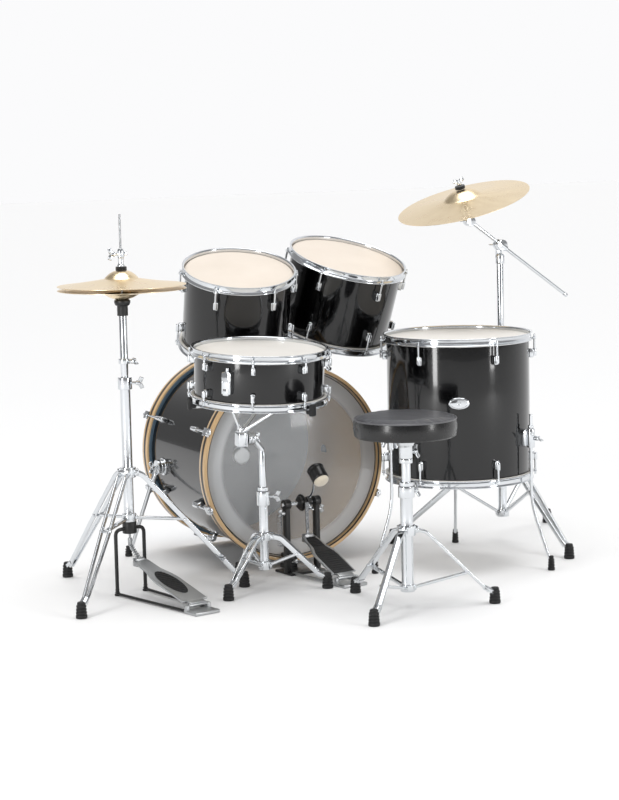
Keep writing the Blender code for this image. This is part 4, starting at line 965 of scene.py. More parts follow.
bass_shell()
CLEAR_FILM = clear_film(BASS.translation, BASS_RADIUS * 0.80, BASS_RADIUS * 0.86)
bass_head("bass_batter_film", "bass_batter_head", CLEAR_FILM, False)
bass_head("bass_front_film", "bass_front_head", EBONY_FILM, True)
bass_hoop("batter", False)
bass_hoop("front", True)
print("bass drum pieces made")

# %% [markdown]
# ## The spurs
# A spur is a folding leg near the front of the bass drum. It turns on a toothed disc that locks with the disc on
# the shell, and ends in a rubber tip.

# %% Spurs
SPUR_FOOT = Vector((0.078, 0.065))


def spur(side, way):
    pivot = Vector(JOINTS[f"spur_{side}_fold"]["pos_m"])
    foot = Vector((pivot.x + way * SPUR_FOOT.x, pivot.y + SPUR_FOOT.y, 0))
    along = (foot - pivot).normalized()
    boss = [
        disc(0.022, 0.0053, 0.026, at=pivot, axis=(-way, 0, 0), sides=40, ease=0.002),
        disc(0.027, 0.014, 0.024, at=pivot, axis=(-way, 0, 0), sides=40, ease=0.002),
    ]
    piece(f"spur_{side}_mount", boss, CHROME, "kit")
    centre = pivot + Vector((way * 0.0005, 0, 0))
    tooth = repeated(
        CIRCLE, [block((0.005, 0.0016, 0.0012), edge=0.0003)], Count=24, Radius=0.0185, Height=-0.0052,
        **{"First angle": 0.0},
    )
    shapes = [
        disc(0.022, -0.0048, 0.0055, at=centre, axis=(way, 0, 0), sides=40, ease=0.0015),
        moved(tooth, aim(centre, (way, 0, 0))),
        rod([centre + Vector((way * 0.004, 0, 0)), foot - along * 0.022], 0.0058),
        disc(0.0090, 0.020, 0.050, at=centre, axis=along, sides=24, ease=0.002),
        *wing_bolt(centre + Vector((way * 0.004, 0, 0)), (way, 0, 0), 0.034, 0.014),
    ]
    piece(f"spur_{side}_leg", shapes, CHROME, f"spur_{side}", [f"spur_{side}"])
    piece(f"spur_{side}_tip", [boot(0.0115, 0.032, 3, foot)], RUBBER, f"spur_{side}")


spur("left", -1)
spur("right", 1)
print("spurs made")

# %% [markdown]
# ## The rack toms and their holder
# The toms hang from two arms that stand in one base on top of the bass drum. Each arm ends in a toothed disc,
# and the tom's own disc bolts against it, so the tom tips about that bolt. The arm slides in the base, so the
# base, the arm and the tom are pieces on three bodies.

# %% Tom holder
TOM_LUGS = 6
TOM_LUG_DROP, TOM_LUG_LENGTH = 0.040, 0.028
TOM_FIRST = {12: 43.0, 13: 40.5}
TOM_PAD = {12: 59.0, 13: 139.6}
ARM = 0.0095
RATCHET = 0.016


def holder():
    low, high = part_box("tom_holder_base")
    middle = (low + high) / 2
    top = BASS.translation.z + BASS_RADIUS
    curve = [polar(BASS_RADIUS + 0.0050, 90 + a, 0) for a in (12, 8, 4, 0, -4, -8, -12)]
    saddle = swept(
        [
            Vector(
                (
                    p.x + BASS.translation.x + (middle.x - BASS.translation.x) * 0.6, middle.y,
                    p.y + BASS.translation.z,
                ),
            )
            for p in curve
        ],
        rounded([(0.034, 0.0045), (-0.034, 0.0045), (-0.034, -0.0045), (0.034, -0.0045)], 0.003, closed=True),
        side=(0, 1, 0),
    )
    shapes = [saddle]
    for size in (12, 13):
        spot = Vector(JOINTS[f"tom_{size}_tilt"]["pos_m"])
        base = Vector((spot.x, spot.y, 0))
        outline = [
            (ARM + GAP, top + 0.004), (0.024, top + 0.004), (0.024, top + 0.014), (0.0155, top + 0.018),
            (0.0155, high.z - 0.016), (0.0185, high.z - 0.014), (0.0185, high.z), (ARM + GAP, high.z),
        ]
        shapes.append(turned(outline, base, ring=True, ease=0.0012))
        shapes += wing_bolt(base + Vector((0, 0.015, high.z - 0.026)), (0, 1, 0), 0.034, 0.020)
        shapes.append(disc(0.004, top, top + 0.0105, at=base + Vector((0, -0.026, 0)), sides=6))
    piece("tom_holder_bracket", shapes, CHROME, "kit", ["tom_holder_base"])


def teeth(at, axis):
    """The ring of small teeth on a ratchet disc's face."""
    ring = repeated(
        CIRCLE, [block((0.005, 0.0012, 0.0010), edge=0.0002)], Count=28, Radius=0.0130, Height=0.0,
        **{"First angle": 0.0},
    )
    return moved(ring, aim(at, axis))


def tom_arm(size, way):
    """The post that slides in the holder, with its half of the ratchet."""
    pivot = Vector(JOINTS[f"tom_{size}_tilt"]["pos_m"])
    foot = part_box(f"tom_{size}_arm")[0].z
    base = Vector((pivot.x, pivot.y, 0))
    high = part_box("tom_holder_base")[1].z
    shoulder = pivot.z - RATCHET - 0.001
    shapes = [
        disc(ARM, foot, shoulder, at=base, sides=40, ease=0.001),
        disc(0.0165, high + 0.0008, high + 0.013, at=base, sides=40, ease=0.0015),
        block((0.0130, 0.0150, 0.018), (pivot.x, pivot.y, shoulder + 0.005), edge=0.002),
        disc(RATCHET, -0.0070, 0.0066, at=pivot, axis=(way, 0, 0), sides=48, ease=0.0015),
        teeth(pivot + Vector((way * 0.0064, 0, 0)), (way, 0, 0)),
        *wing_bolt(pivot - Vector((way * 0.0056, 0, 0)), (-way, 0, 0), 0.034, 0.010),
    ]
    piece(f"tom_{size}_post", shapes, CHROME, f"tom_{size}_arm", [f"tom_{size}_arm"])


def tom(size, way):
    """A rack tom with its half of the ratchet and the pad that ties it to the shell."""
    matrix, radius, _ = drum_frame(f"tom_{size}")
    to_local = matrix.inverted()
    pivot = Vector(JOINTS[f"tom_{size}_tilt"]["pos_m"])
    plate = disc(RATCHET, 0.0078, 0.0213, at=pivot, axis=(way, 0, 0), sides=48, ease=0.0015)
    start = to_local @ (pivot + Vector((way * 0.0143, 0, 0)))
    facing = TOM_PAD[size]
    seat = polar(radius - 0.002, facing, start.z * 0.9)
    extra = [
        moved(plate, to_local),
        rod([start, seat], 0.0085, sides=28),
        block((0.010, 0.036, 0.044), polar(radius + 0.003, facing, seat.z), (0, 0, facing), 0.004),
        block((0.014, 0.024, 0.026), polar(radius + 0.009, facing, seat.z), (0, 0, facing), 0.004),
    ]
    for corner in (-1, 1):
        bolt = polar(radius + 0.006, facing + corner * 4.6, seat.z)
        extra.append(disc(0.0038, 0.0, 0.0045, at=bolt, axis=polar(1, facing), sides=6, ease=0.0005))
    drum(
        f"tom_{size}", f"tom_{size}", TOM_LUGS, TOM_FIRST[size], TOM_LUG_DROP, TOM_LUG_LENGTH, CREAM_FILM, extra
    )


holder()
for size, way in ((12, -1), (13, 1)):
    tom_arm(size, way)
    tom(size, way)

# %% [markdown]
# ## The floor tom
# The floor tom is a deep shell on three bent steel legs. Each leg slides through a cast bracket and is held by a
# wing bolt, and it cranks outwards below the drum so that the feet stand wide. An oval plate covers the shell's
# air vent.

# %% Floor tom
FLOOR_LEGS = {"right": -57.0, "back": 63.0, "left": 183.0}
LEG_OUT = 0.0248
LEG = 0.0047
FOOT_OUT = 0.086
PLATE_ANGLE = -119.5
PLATE_HEIGHT = 0.498
BRACKET_LOW, BRACKET_HIGH = 0.355, 0.410
OVAL = Matrix.Diagonal((1.25, 0.72, 1, 1))


def floor_tom():
    matrix, radius, _ = drum_frame("floor_tom")
    centre = matrix.translation
    ground = Vector((centre.x, centre.y, 0))
    low, high = BRACKET_LOW - centre.z, BRACKET_HIGH - centre.z
    extra = []
    for angle in FLOOR_LEGS.values():
        sleeve = [(LEG + 2 * GAP, low), (0.0115, low), (0.0115, high), (LEG + 2 * GAP, high)]
        extra.append(turned(sleeve, polar(radius + LEG_OUT, angle), ring=True, ease=0.0015, sides=32))
        spot = polar(radius + 0.0065, angle, (low + high) / 2)
        extra.append(block((0.019, 0.026, high - low - 0.006), spot, (0, 0, angle), 0.004))
        bolt = polar(radius + LEG_OUT, angle, (low + high) / 2) + polar(0.010, angle)
        extra += wing_bolt(bolt, polar(1, angle), 0.034, 0.012)
    drum("floor_tom", "kit", TOM_LUGS, 30.0, TOM_LUG_DROP, TOM_LUG_LENGTH, WHITE_FILM, extra)
    height = PLATE_HEIGHT - centre.z
    plate = turned([(0, 0.0022), (0.0215, 0.0018), (0.0240, 0.0), (0, 0)], sides=64, ease=0.0006)
    ridge = turned(
        [(0.0185, 0.0), (0.0205, 0.0), (0.0205, 0.0030), (0.0185, 0.0030)], sides=64, ring=True, ease=0.0005
    )
    vent = turned(
        [(0.0030, 0.0), (0.0060, 0.0), (0.0060, 0.0045), (0.0030, 0.0045)], sides=32, ring=True, ease=0.0012
    )
    face = aim(polar(radius - 0.0010, PLATE_ANGLE, height), polar(1, PLATE_ANGLE))
    upwards = face.to_3x3().inverted() @ Vector((0, 0, 1))
    face = face @ Matrix.Rotation(math.atan2(-upwards.x, upwards.y), 4, "Z")
    badge = [moved(plate, face @ OVAL), moved(ridge, face @ OVAL), moved(vent, face)]
    piece("floor_tom_vent_plate", badge, CHROME, "kit", matrix=matrix)
    for side, angle in FLOOR_LEGS.items():
        upright = radius + LEG_OUT
        foot = radius + FOOT_OUT
        path = [polar(upright, angle, 0.450), polar(upright, angle, 0.190), polar(foot - 0.004, angle, 0.030)]
        shapes = [
            rod([ground + p for p in path], LEG, 0.05),
            disc(0.0085, 0.4102 + GAP, 0.420, at=ground + polar(upright, angle), sides=32, ease=0.001),
            disc(LEG + 0.0004, 0.447, 0.4515, at=ground + polar(upright, angle), sides=24, ease=0.002),
        ]
        body = f"floor_tom_leg_{side}"
        piece(f"floor_tom_rod_{side}", shapes, CHROME, body, [body])
        tip = boot(0.0105, 0.042, 4, ground + polar(foot, angle))
        piece(f"floor_tom_tip_{side}", [tip], RUBBER, body)


floor_tom()

# %% [markdown]
# ## The snare drum
# The snare is a shallow tom with a strand of coiled wires pulled against its lower head. A throw-off on the side
# has a lever that lets them drop. Twenty coils are set side by side by the line tree, and each is a wire wound
# tightly enough to look like a thin spring.

# %% Snare drum
SNARE_FIRST = 15.0
THROW_OFF = 217.5
WIRES = 20


def coil(length, radius, wire, turns):
    """A fine spring along X, with a triangular wire because it is thin."""
    steps, path = 8, []
    for k in range(turns * steps + 1):
        angle, along = math.tau * k / steps, k / (turns * steps) - 0.5
        path.append(Vector((length * along, radius * math.cos(angle), radius * math.sin(angle))))
    section = [(wire * math.cos(math.tau * k / 3), wire * math.sin(math.tau * k / 3)) for k in range(3)]
    return swept(path, section, side=(0, 0, 1))


def snare():
    matrix, radius, film = drum_frame("snare")
    away = [
        block((0.018, 0.028, 0.062), polar(radius + 0.0068, THROW_OFF), (0, 0, THROW_OFF), 0.004),
        block((0.014, 0.018, 0.020), polar(radius + 0.010, THROW_OFF, -0.024), (0, 0, THROW_OFF), 0.003),
        disc(0.0048, 0.0, 0.012, at=polar(radius + 0.006, THROW_OFF, 0.030), sides=20, ease=0.001),
        block((0.016, 0.032, 0.034), polar(radius + 0.006, THROW_OFF + 180, -0.004), (0, 0, THROW_OFF), 0.004),
    ]
    for way in (-1, 1):
        side = polar(way * 0.009, THROW_OFF + 90)
        for angle, out in ((THROW_OFF, 0.0155), (THROW_OFF + 180, 0.0138)):
            at = polar(radius + out, angle, 0.004) + side
            away.append(disc(0.0030, 0.0, 0.0022, at=at, axis=polar(1, angle), sides=20, ease=0.0006))
    drum("snare", "snare", 8, SNARE_FIRST, 0.020, 0.024, WHITE_FILM, away)

    along = Matrix.Rotation(math.radians(THROW_OFF), 4, "Z")
    top = -film - GAP
    reach = radius - 0.016
    wires = repeated(
        LINE, [coil(reach * 1.80, 0.0009, 0.00022, 90)], Count=WIRES, Start=(0, -0.0190, top - 0.0012),
        Step=(0, 0.0020, 0), Roll=0.0, Material=STEEL,
    )
    ends = [
        block((0.012, 0.042, 0.0016), (way * (reach - 0.006), 0, top - 0.0010), edge=0.0005) for way in (-1, 1)
    ]
    piece("snare_wire_strand", [wires, *ends], STEEL, "snare", ["snare_wires"], matrix @ along)
    pivot = matrix.inverted() @ Vector(JOINTS["throw_off_drop"]["pos_m"])
    shapes = [
        block((0.0046, 0.0115, 0.052), pivot + Vector((0, 0, 0.0265)), (0, 0, THROW_OFF), 0.0018),
        block((0.0085, 0.0190, 0.016), pivot + polar(0.002, THROW_OFF, 0.046), (0, 0, THROW_OFF), 0.0035),
        disc(
            0.0042, -0.0085, 0.0085, at=pivot + Vector((0, 0, 0.001)), axis=polar(1, THROW_OFF + 90), sides=24
        ),
    ]
    piece("snare_lever", shapes, CHROME, "throw_off", ["snare_throw_off_lever"], matrix)
    return matrix, radius, film


SNARE, SNARE_RADIUS, SNARE_FILM = snare()

# %% [markdown]
# ## The snare stand
# Three arms with rubber tips make a basket that grips the drum's lower hoop. A round hand wheel under the hub
# tightens the basket. The hub tips on the post, and the post slides in the base tube, so the stand is three
# pieces.

# %% Snare stand
HUB_ASIDE = 0.058
BASKET_ARMS = (52.5, 172.5, 292.5)


def snare_stand():
    hub = Vector(JOINTS["snare_tilt"]["pos_m"])
    place = Matrix.Translation((hub.x + HUB_ASIDE, hub.y, 0))
    bands = [(0.055, 0.078, 0.0185), (0.138, 0.161, 0.0205), (0.238, 0.278, 0.0185)]
    tube = [(0, 0.055), *collar_on(0.0125, bands)[1:-1], (0.0098, 0.278), (0.0098, 0.120), (0, 0.120)]
    metal, boots = tripod(
        0.176, -30.0, (0.012, 0.150), (0.046, 0.146), 0.036, 0.42, (0.012, 0.066), 0.020, LEG_STRAP
    )
    metal += [turned(tube, ease=0.0012), lock_ring(0.0098, 0.0150, 0.2784, 0.290)]
    metal += wing_bolt((0.014, -0.006, 0.262), (0.94, -0.34, 0))
    piece("snare_stand_tripod", metal, CHROME, "kit", ["snare_stand_base"], place)
    piece("snare_stand_feet", boots, RUBBER, "kit", matrix=place)

    inner = Vector((-HUB_ASIDE + 0.034, 0, hub.z))
    shapes = [
        disc(0.0095, 0.205, 0.392, sides=40),
        rod([(0, 0, 0.370), (0, 0, 0.396), inner + Vector((-0.004, 0, 0))], 0.0085, 0.014, 28),
        disc(0.018, 0.0, 0.0118, at=inner - Vector((0.012, 0, 0)), axis=(1, 0, 0), sides=48, ease=0.0015),
        *wing_bolt(inner + Vector((-0.002, 0, 0)), (1, 0, 0), 0.030, 0.010),
    ]
    piece("snare_stand_tube", shapes, CHROME, "snare_post", ["snare_stand_post"], place)

    local_hub = SNARE.inverted() @ hub
    centre = local_hub + Vector((-0.004, 0, 0))
    under = -(SNARE_FILM + RIM) - GAP
    reach = SNARE_RADIUS + 0.0120
    shapes = [
        block((0.030, 0.034, 0.044), centre, edge=0.006),
        moved(
            disc(0.018, 0.0125, 0.0217, axis=(1, 0, 0), sides=48, ease=0.001),
            SNARE.inverted() @ Matrix.Translation(hub),
        ),
        disc(0.0085, centre.z - 0.050, centre.z + 0.032, at=(centre.x, centre.y, 0), sides=32),
        disc(0.0130, centre.z + 0.012, centre.z + 0.026, at=(centre.x, centre.y, 0), sides=40, ease=0.002),
    ]
    grips = []
    for angle in BASKET_ARMS:
        start = Vector((centre.x, centre.y, centre.z + 0.019))
        knee = polar(SNARE_RADIUS * 0.45, angle, under - 0.007)
        end = polar(reach + 0.0066, angle, under - 0.007)
        tip = end + Vector((0, 0, 0.016))
        shapes.append(rod([start, knee, end, tip], 0.0052, 0.014))
        shapes.append(disc(0.0078, -0.006, 0.006, at=start.lerp(knee, 0.14), axis=(knee - start), sides=24))
        grip = polar(reach + GAP + 0.0062, angle, under + 0.002)
        grips.append(block((0.0118, 0.021, 0.034), grip, (0, 0, angle), 0.004))
        grips.append(
            block((0.016, 0.021, 0.010), polar(reach - 0.0025, angle, under - 0.0053), (0, 0, angle), 0.004)
        )
    piece("snare_basket_arms", shapes, CHROME, "snare", ["snare_basket"], SNARE)
    piece("snare_basket_grips", grips, RUBBER, "snare", matrix=SNARE)
    rib = block((0.003, 0.0030, 0.017), edge=0.001)
    ribs = round_drum([rib], 24, 0.0228, 0.0)
    facing = aim(centre + Vector((0, 0, -0.046)), (0, 1, 0))
    wheel = [moved(mesh, facing) for mesh in (disc(0.0228, -0.009, 0.009, sides=48, ease=0.003), ribs)]
    piece("snare_basket_wheel", wheel, ALUMINIUM, "snare", matrix=SNARE)


snare_stand()
print("snare stand made")

# %% [markdown]
# ## Cymbals
# A cymbal is a thin bronze plate with a shallow bow and a raised bell. Its outline is a curve, so it is turned
# from many short steps, thick at the bell and thin at the rim, and its UVs run outwards so that the lathe's
# rings follow the plate however it tips.


# %% Cymbal outline
PLATE_THICK = 0.0011


def cymbal(radius, bell, bow_rise, bell_rise, way=1):
    """A turned plate, its rim's near face at height 0."""
    steps = 26
    upper = []
    for k in range(steps + 1):
        reach = radius + (bell - radius) * k / steps
        run = 1.0 - (reach - bell) / (radius - bell)
        upper.append((reach, bow_rise * (0.72 * run + 0.28 * run**2.2)))
    for k in range(1, 11):
        t = k / 10
        reach = bell + (0.006 - bell) * t
        upper.append((reach, bow_rise + bell_rise * math.sin(math.pi / 2 * min(1.0, t * 1.18)) ** 0.9))
    lower = [(r, h - PLATE_THICK) for r, h in reversed(upper)]
    return [(r, way * h) for r, h in upper + lower]


def cymbal_piece(name, node, outline, at, axis, body):
    """A bronze plate turned from its outline about an axis."""
    shape = turned(outline, at, axis, 192, ring=True)
    piece(name, [shape], BRONZE, body, [node], crease=50)


# %% [markdown]
# ## The hi-hat
# Two cymbals face each other on one rod. The lower one rests on a cup on the tube, and the upper one hangs from
# a clutch on the rod. The pedal pulls the rod down through the tube. The tripod's straps are braced from a
# collar low on the tube.

# %% Hi-hat sizes
HAT_LOW, HAT_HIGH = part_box("hihat_top_cymbal")
HAT = Vector(((HAT_LOW.x + HAT_HIGH.x) / 2, (HAT_LOW.y + HAT_HIGH.y) / 2, 0))
HAT_RADIUS = (HAT_HIGH.x - HAT_LOW.x) / 2
HAT_BELL_TOP = HAT_HIGH.z
LOWER_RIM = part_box("hihat_bottom_cymbal")[1].z
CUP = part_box("hihat_upper_tube")[1].z
print("hi-hat radius", round(HAT_RADIUS, 4), "bell at", round(HAT_BELL_TOP, 3))


# %% Hi-hat stand and cymbals
def hi_hat():
    place = Matrix.Translation(HAT)
    bottom = 0.205
    bands = [(0.330, 0.358, 0.0225), (0.577, 0.610, 0.0195)]
    outline = [
        (0.0050, bottom), (0.0195, bottom), (0.0195, 0.228), *collar_on(0.0140, bands)[:-1], (0.0113, 0.610),
        (0.0113, 0.360), (0.0050, 0.360),
    ]
    outline.insert(3, (0.0140, 0.228))
    metal, boots = tripod(
        0.320, -16.2, (0.013, 0.344), (0.040, 0.336), 0.036, 0.44, (0.014, 0.216), 0.024, LEG_STRAP
    )
    metal.append(turned(outline, ring=True, ease=0.0012))
    metal += wing_bolt((0.015, -0.007, 0.594), (0.9, -0.43, 0), 0.036, 0.024)
    piece("hihat_tripod", metal, CHROME, "kit", ["hihat_base"], place)
    piece("hihat_feet", boots, RUBBER, "kit", matrix=place)

    tube = [
        (0.0050, 0.405), *collar_on(0.0108, [(0.648, 0.662, 0.0155)]), (0.0108, CUP - 0.020),
        (0.0050, CUP - 0.020),
    ]
    shapes = [
        turned(tube, ring=True, ease=0.001), *wing_bolt((0.010, -0.010, 0.655), (0.7, -0.7, 0), 0.028, 0.014)
    ]
    piece("hihat_tube", shapes, CHROME, "hihat_post", ["hihat_upper_tube"], place)
    cup = [
        (0.0050, CUP - 0.046), (0.0150, CUP - 0.046), (0.0150, CUP - 0.019), (0.0195, CUP - 0.017), (
            0.0225, CUP - 0.010
        ),
        (0.0225, CUP - 0.004), (0.0170, CUP), (0.0050, CUP),
    ]
    piece("hihat_seat_cup", [turned(cup, ring=True, ease=0.001)], BLACK_PLASTIC, "hihat_post", matrix=place)
    flat = HAT + Vector((0, 0, LOWER_RIM))
    cymbal_piece(
        "hihat_lower_plate", "hihat_bottom_cymbal", cymbal(HAT_RADIUS, 0.048, 0.0130, 0.0140, -1),
        flat - Vector((0, 0, PLATE_THICK)), (0, 0, 1), "hihat_post",
    )
    rim = HAT_LOW.z + PLATE_THICK
    cymbal_piece(
        "hihat_upper_plate", "hihat_top_cymbal", cymbal(HAT_RADIUS, 0.048, 0.018, 0.022),
        HAT + Vector((0, 0, rim)), (0, 0, 1), "hihat_top",
    )

    bell = HAT_BELL_TOP
    felt_below = [
        (0.0036, bell - 0.0126), (0.0088, bell - 0.0126), (0.0088, bell - 0.0020), (0.0036, bell - 0.0020)
    ]
    felt_above = [(0.0036, bell + GAP), (0.0155, bell + GAP), (0.0155, bell + 0.011), (0.0036, bell + 0.011)]
    felts = [turned(outline, ring=True, ease=0.002) for outline in (felt_below, felt_above)]
    piece("hihat_clutch_felts", felts, BLACK_FELT, "hihat_top", matrix=place)
    body = [
        (0.0034, bell + 0.011), (0.0105, bell + 0.011), (0.0105, bell + 0.015), (0.0078, bell + 0.018), (
            0.0078, bell + 0.034
        ),
        (0.0095, bell + 0.036), (0.0095, bell + 0.054), (0.0070, bell + 0.060), (0.0034, bell + 0.060),
    ]
    nut = [(0.0034, bell - 0.0150), (0.0080, bell - 0.0150), (0.0080, bell - 0.0126), (0.0034, bell - 0.0126)]
    shapes = [turned(body, ring=True, ease=0.0008), turned(nut, ring=True, ease=0.0004)]
    shapes += wing_bolt((-0.007, 0, bell + 0.046), (-1, 0, 0), 0.032, 0.020)
    shapes.append(block((0.016, 0.009, 0.010), (0.010, 0, bell + 0.046), edge=0.002))
    piece("hihat_clutch_body", shapes, CHROME, "hihat_top", ["hihat_clutch"], place)


hi_hat()


# %% [markdown]
# ## The pedals
# A footboard is hinged at the heel and pulls a chain at the toe. The bass drum's chain turns a sprocket that
# swings the beater, and the hi-hat's pulls the rod. Both frames are painted black, and both boards are cast
# aluminium with raised grip bars set along a line.


# %% Pedal parts
HEEL_WIDTH = 0.080
BOARD_HALF, BOARD_NECK = 0.040, 0.0245


def pedal_frame(joint, heel):
    """The matrix of a pedal's own frame, with +Y to the toe, from its footboard's hinge."""
    x = -Vector(JOINTS[joint]["axis"]).normalized()
    z = Vector((0, 0, 1))
    y = z.cross(x)
    turn = Matrix((x, y, z)).transposed().to_4x4()
    origin = Vector(JOINTS[joint]["pos_m"]) - turn.to_3x3() @ Vector((0, *heel))
    return Matrix.Translation(origin) @ turn


def board_outline(length, half, nose, steps=7):
    """A footboard seen from above: square at the heel, drawn in to a narrow neck and a rounded toe."""
    side = [
        (half, 0.013), (half, length * 0.50), (half * 0.92, length * 0.60), (nose, length * 0.72),
        (nose * 0.92, length - 0.020),
    ]
    turns = [math.pi / 2 * k / steps for k in range(1, steps)]
    tip = [(nose * 0.92 * math.cos(t), length - 0.020 + 0.020 * math.sin(t)) for t in turns]
    right = side + tip
    return right + [(-x, y) for x, y in reversed(right)]


def plate(outline, low, high, edge=0.0012):
    """A flat plate of an outline, between two heights, with eased edges."""
    bm = bmesh.new()
    rows = [[bm.verts.new((x, y, h)) for x, y in outline] for h in (low, high)]
    count = len(outline)
    for k in range(count):
        bm.faces.new((rows[0][k], rows[0][(k + 1) % count], rows[1][(k + 1) % count], rows[1][k]))
    bm.faces.new(rows[0])
    bm.faces.new(rows[1])
    rims = [e for e in bm.edges if abs(e.verts[0].co.z - e.verts[1].co.z) < 1e-6]
    bmesh.ops.bevel(bm, geom=rims, offset=edge, segments=2, profile=0.5, affect="EDGES")
    return mesh_of(bm)


def footboard(name, node, body, matrix, heel, length, angle, rubber_grip):
    """The board in its own slope, with its hinge barrel, toe block and grip."""
    slope = matrix @ Matrix.Translation((0, *heel)) @ Matrix.Rotation(math.radians(angle), 4, "X")
    shapes = [
        plate(board_outline(length, BOARD_HALF, BOARD_NECK), 0.0032, 0.0090),
        block((0.050, 0.022, 0.0056), (0, 0.009, 0.0055), edge=0.001),
        disc(0.0050, -0.0285, 0.0285, axis=(1, 0, 0), sides=24),
        block((0.030, 0.020, 0.024), (0, length - 0.012, 0.001), (-angle, 0, 0), 0.003),
    ]
    piece(name, shapes, ALUMINIUM, body, [node], slope)
    bars = []
    if rubber_grip:
        turns = [math.tau * k / 40 for k in range(40)]
        oval = [(0.027 * math.cos(t), length * 0.43 + length * 0.24 * math.sin(t)) for t in turns]
        bars.append(plate(oval, 0.0088, 0.0100, 0.0004))
        for k in range(13):
            along = length * (0.22 + 0.035 * k)
            wide = 0.0235 * math.sqrt(max(0.0, 1 - ((along - length * 0.43) / (length * 0.235)) ** 2))
            if wide > 0.004:
                bars.append(block((2 * wide, 0.0042, 0.0022), (0, along, 0.0106), edge=0.0008))
    else:
        inset = board_outline(length * 0.95, BOARD_HALF, BOARD_NECK)
        bars.append(plate([(x * 0.86, 0.020 + (y - 0.020) * 0.95) for x, y in inset], 0.0088, 0.0098, 0.0004))
        for wide, count, first in ((0.054, 10, 0.030), (0.032, 5, length * 0.70)):
            bar = block((wide, 0.0036, 0.0020), edge=0.0008)
            start, step = (0, first, 0.0104), (0, 0.0102, 0)
            bars.append(repeated(LINE, [bar], Count=count, Start=start, Step=step, Roll=0.0))
    piece(name + "_grip", bars, RUBBER, body, matrix=slope)


def heel_shapes(heel):
    """The heel plate and the two ears that hold the board's hinge."""
    y, z = heel
    shapes = [block((HEEL_WIDTH, 0.058, 0.009), (0, y - 0.020, 0.0046), edge=0.0025)]
    for way in (-1, 1):
        x = way * (HEEL_WIDTH / 2 - 0.0055)
        shapes.append(block((0.0105, 0.0155, z + 0.002), (x, y, (z + 0.003) / 2), edge=0.003))
        shapes.append(disc(0.0045, -0.0062, 0.0062, at=(x, y, z - 0.003), axis=(1, 0, 0), sides=24))
    return shapes


def link():
    """One roller-chain link: two side plates and two rollers, 8 mm long."""
    ends, sides = [], []
    for way in (-1, 1):
        ends.append(disc(0.0021, -0.0046, 0.0046, at=(0, 0, way * 0.0021), axis=(1, 0, 0), sides=12, ease=0.0))
        sides.append(block((0.0012, 0.0052, 0.0080), (way * 0.0042, 0, 0), edge=0.0005))
    return ends + sides


# %% Bass drum pedal
BASS_HEEL = (-0.305, 0.020)
AXLE_Y, AXLE_Z = -0.085, 0.205
BEATER_REACH = 0.130
PEDAL_HALF = 0.052


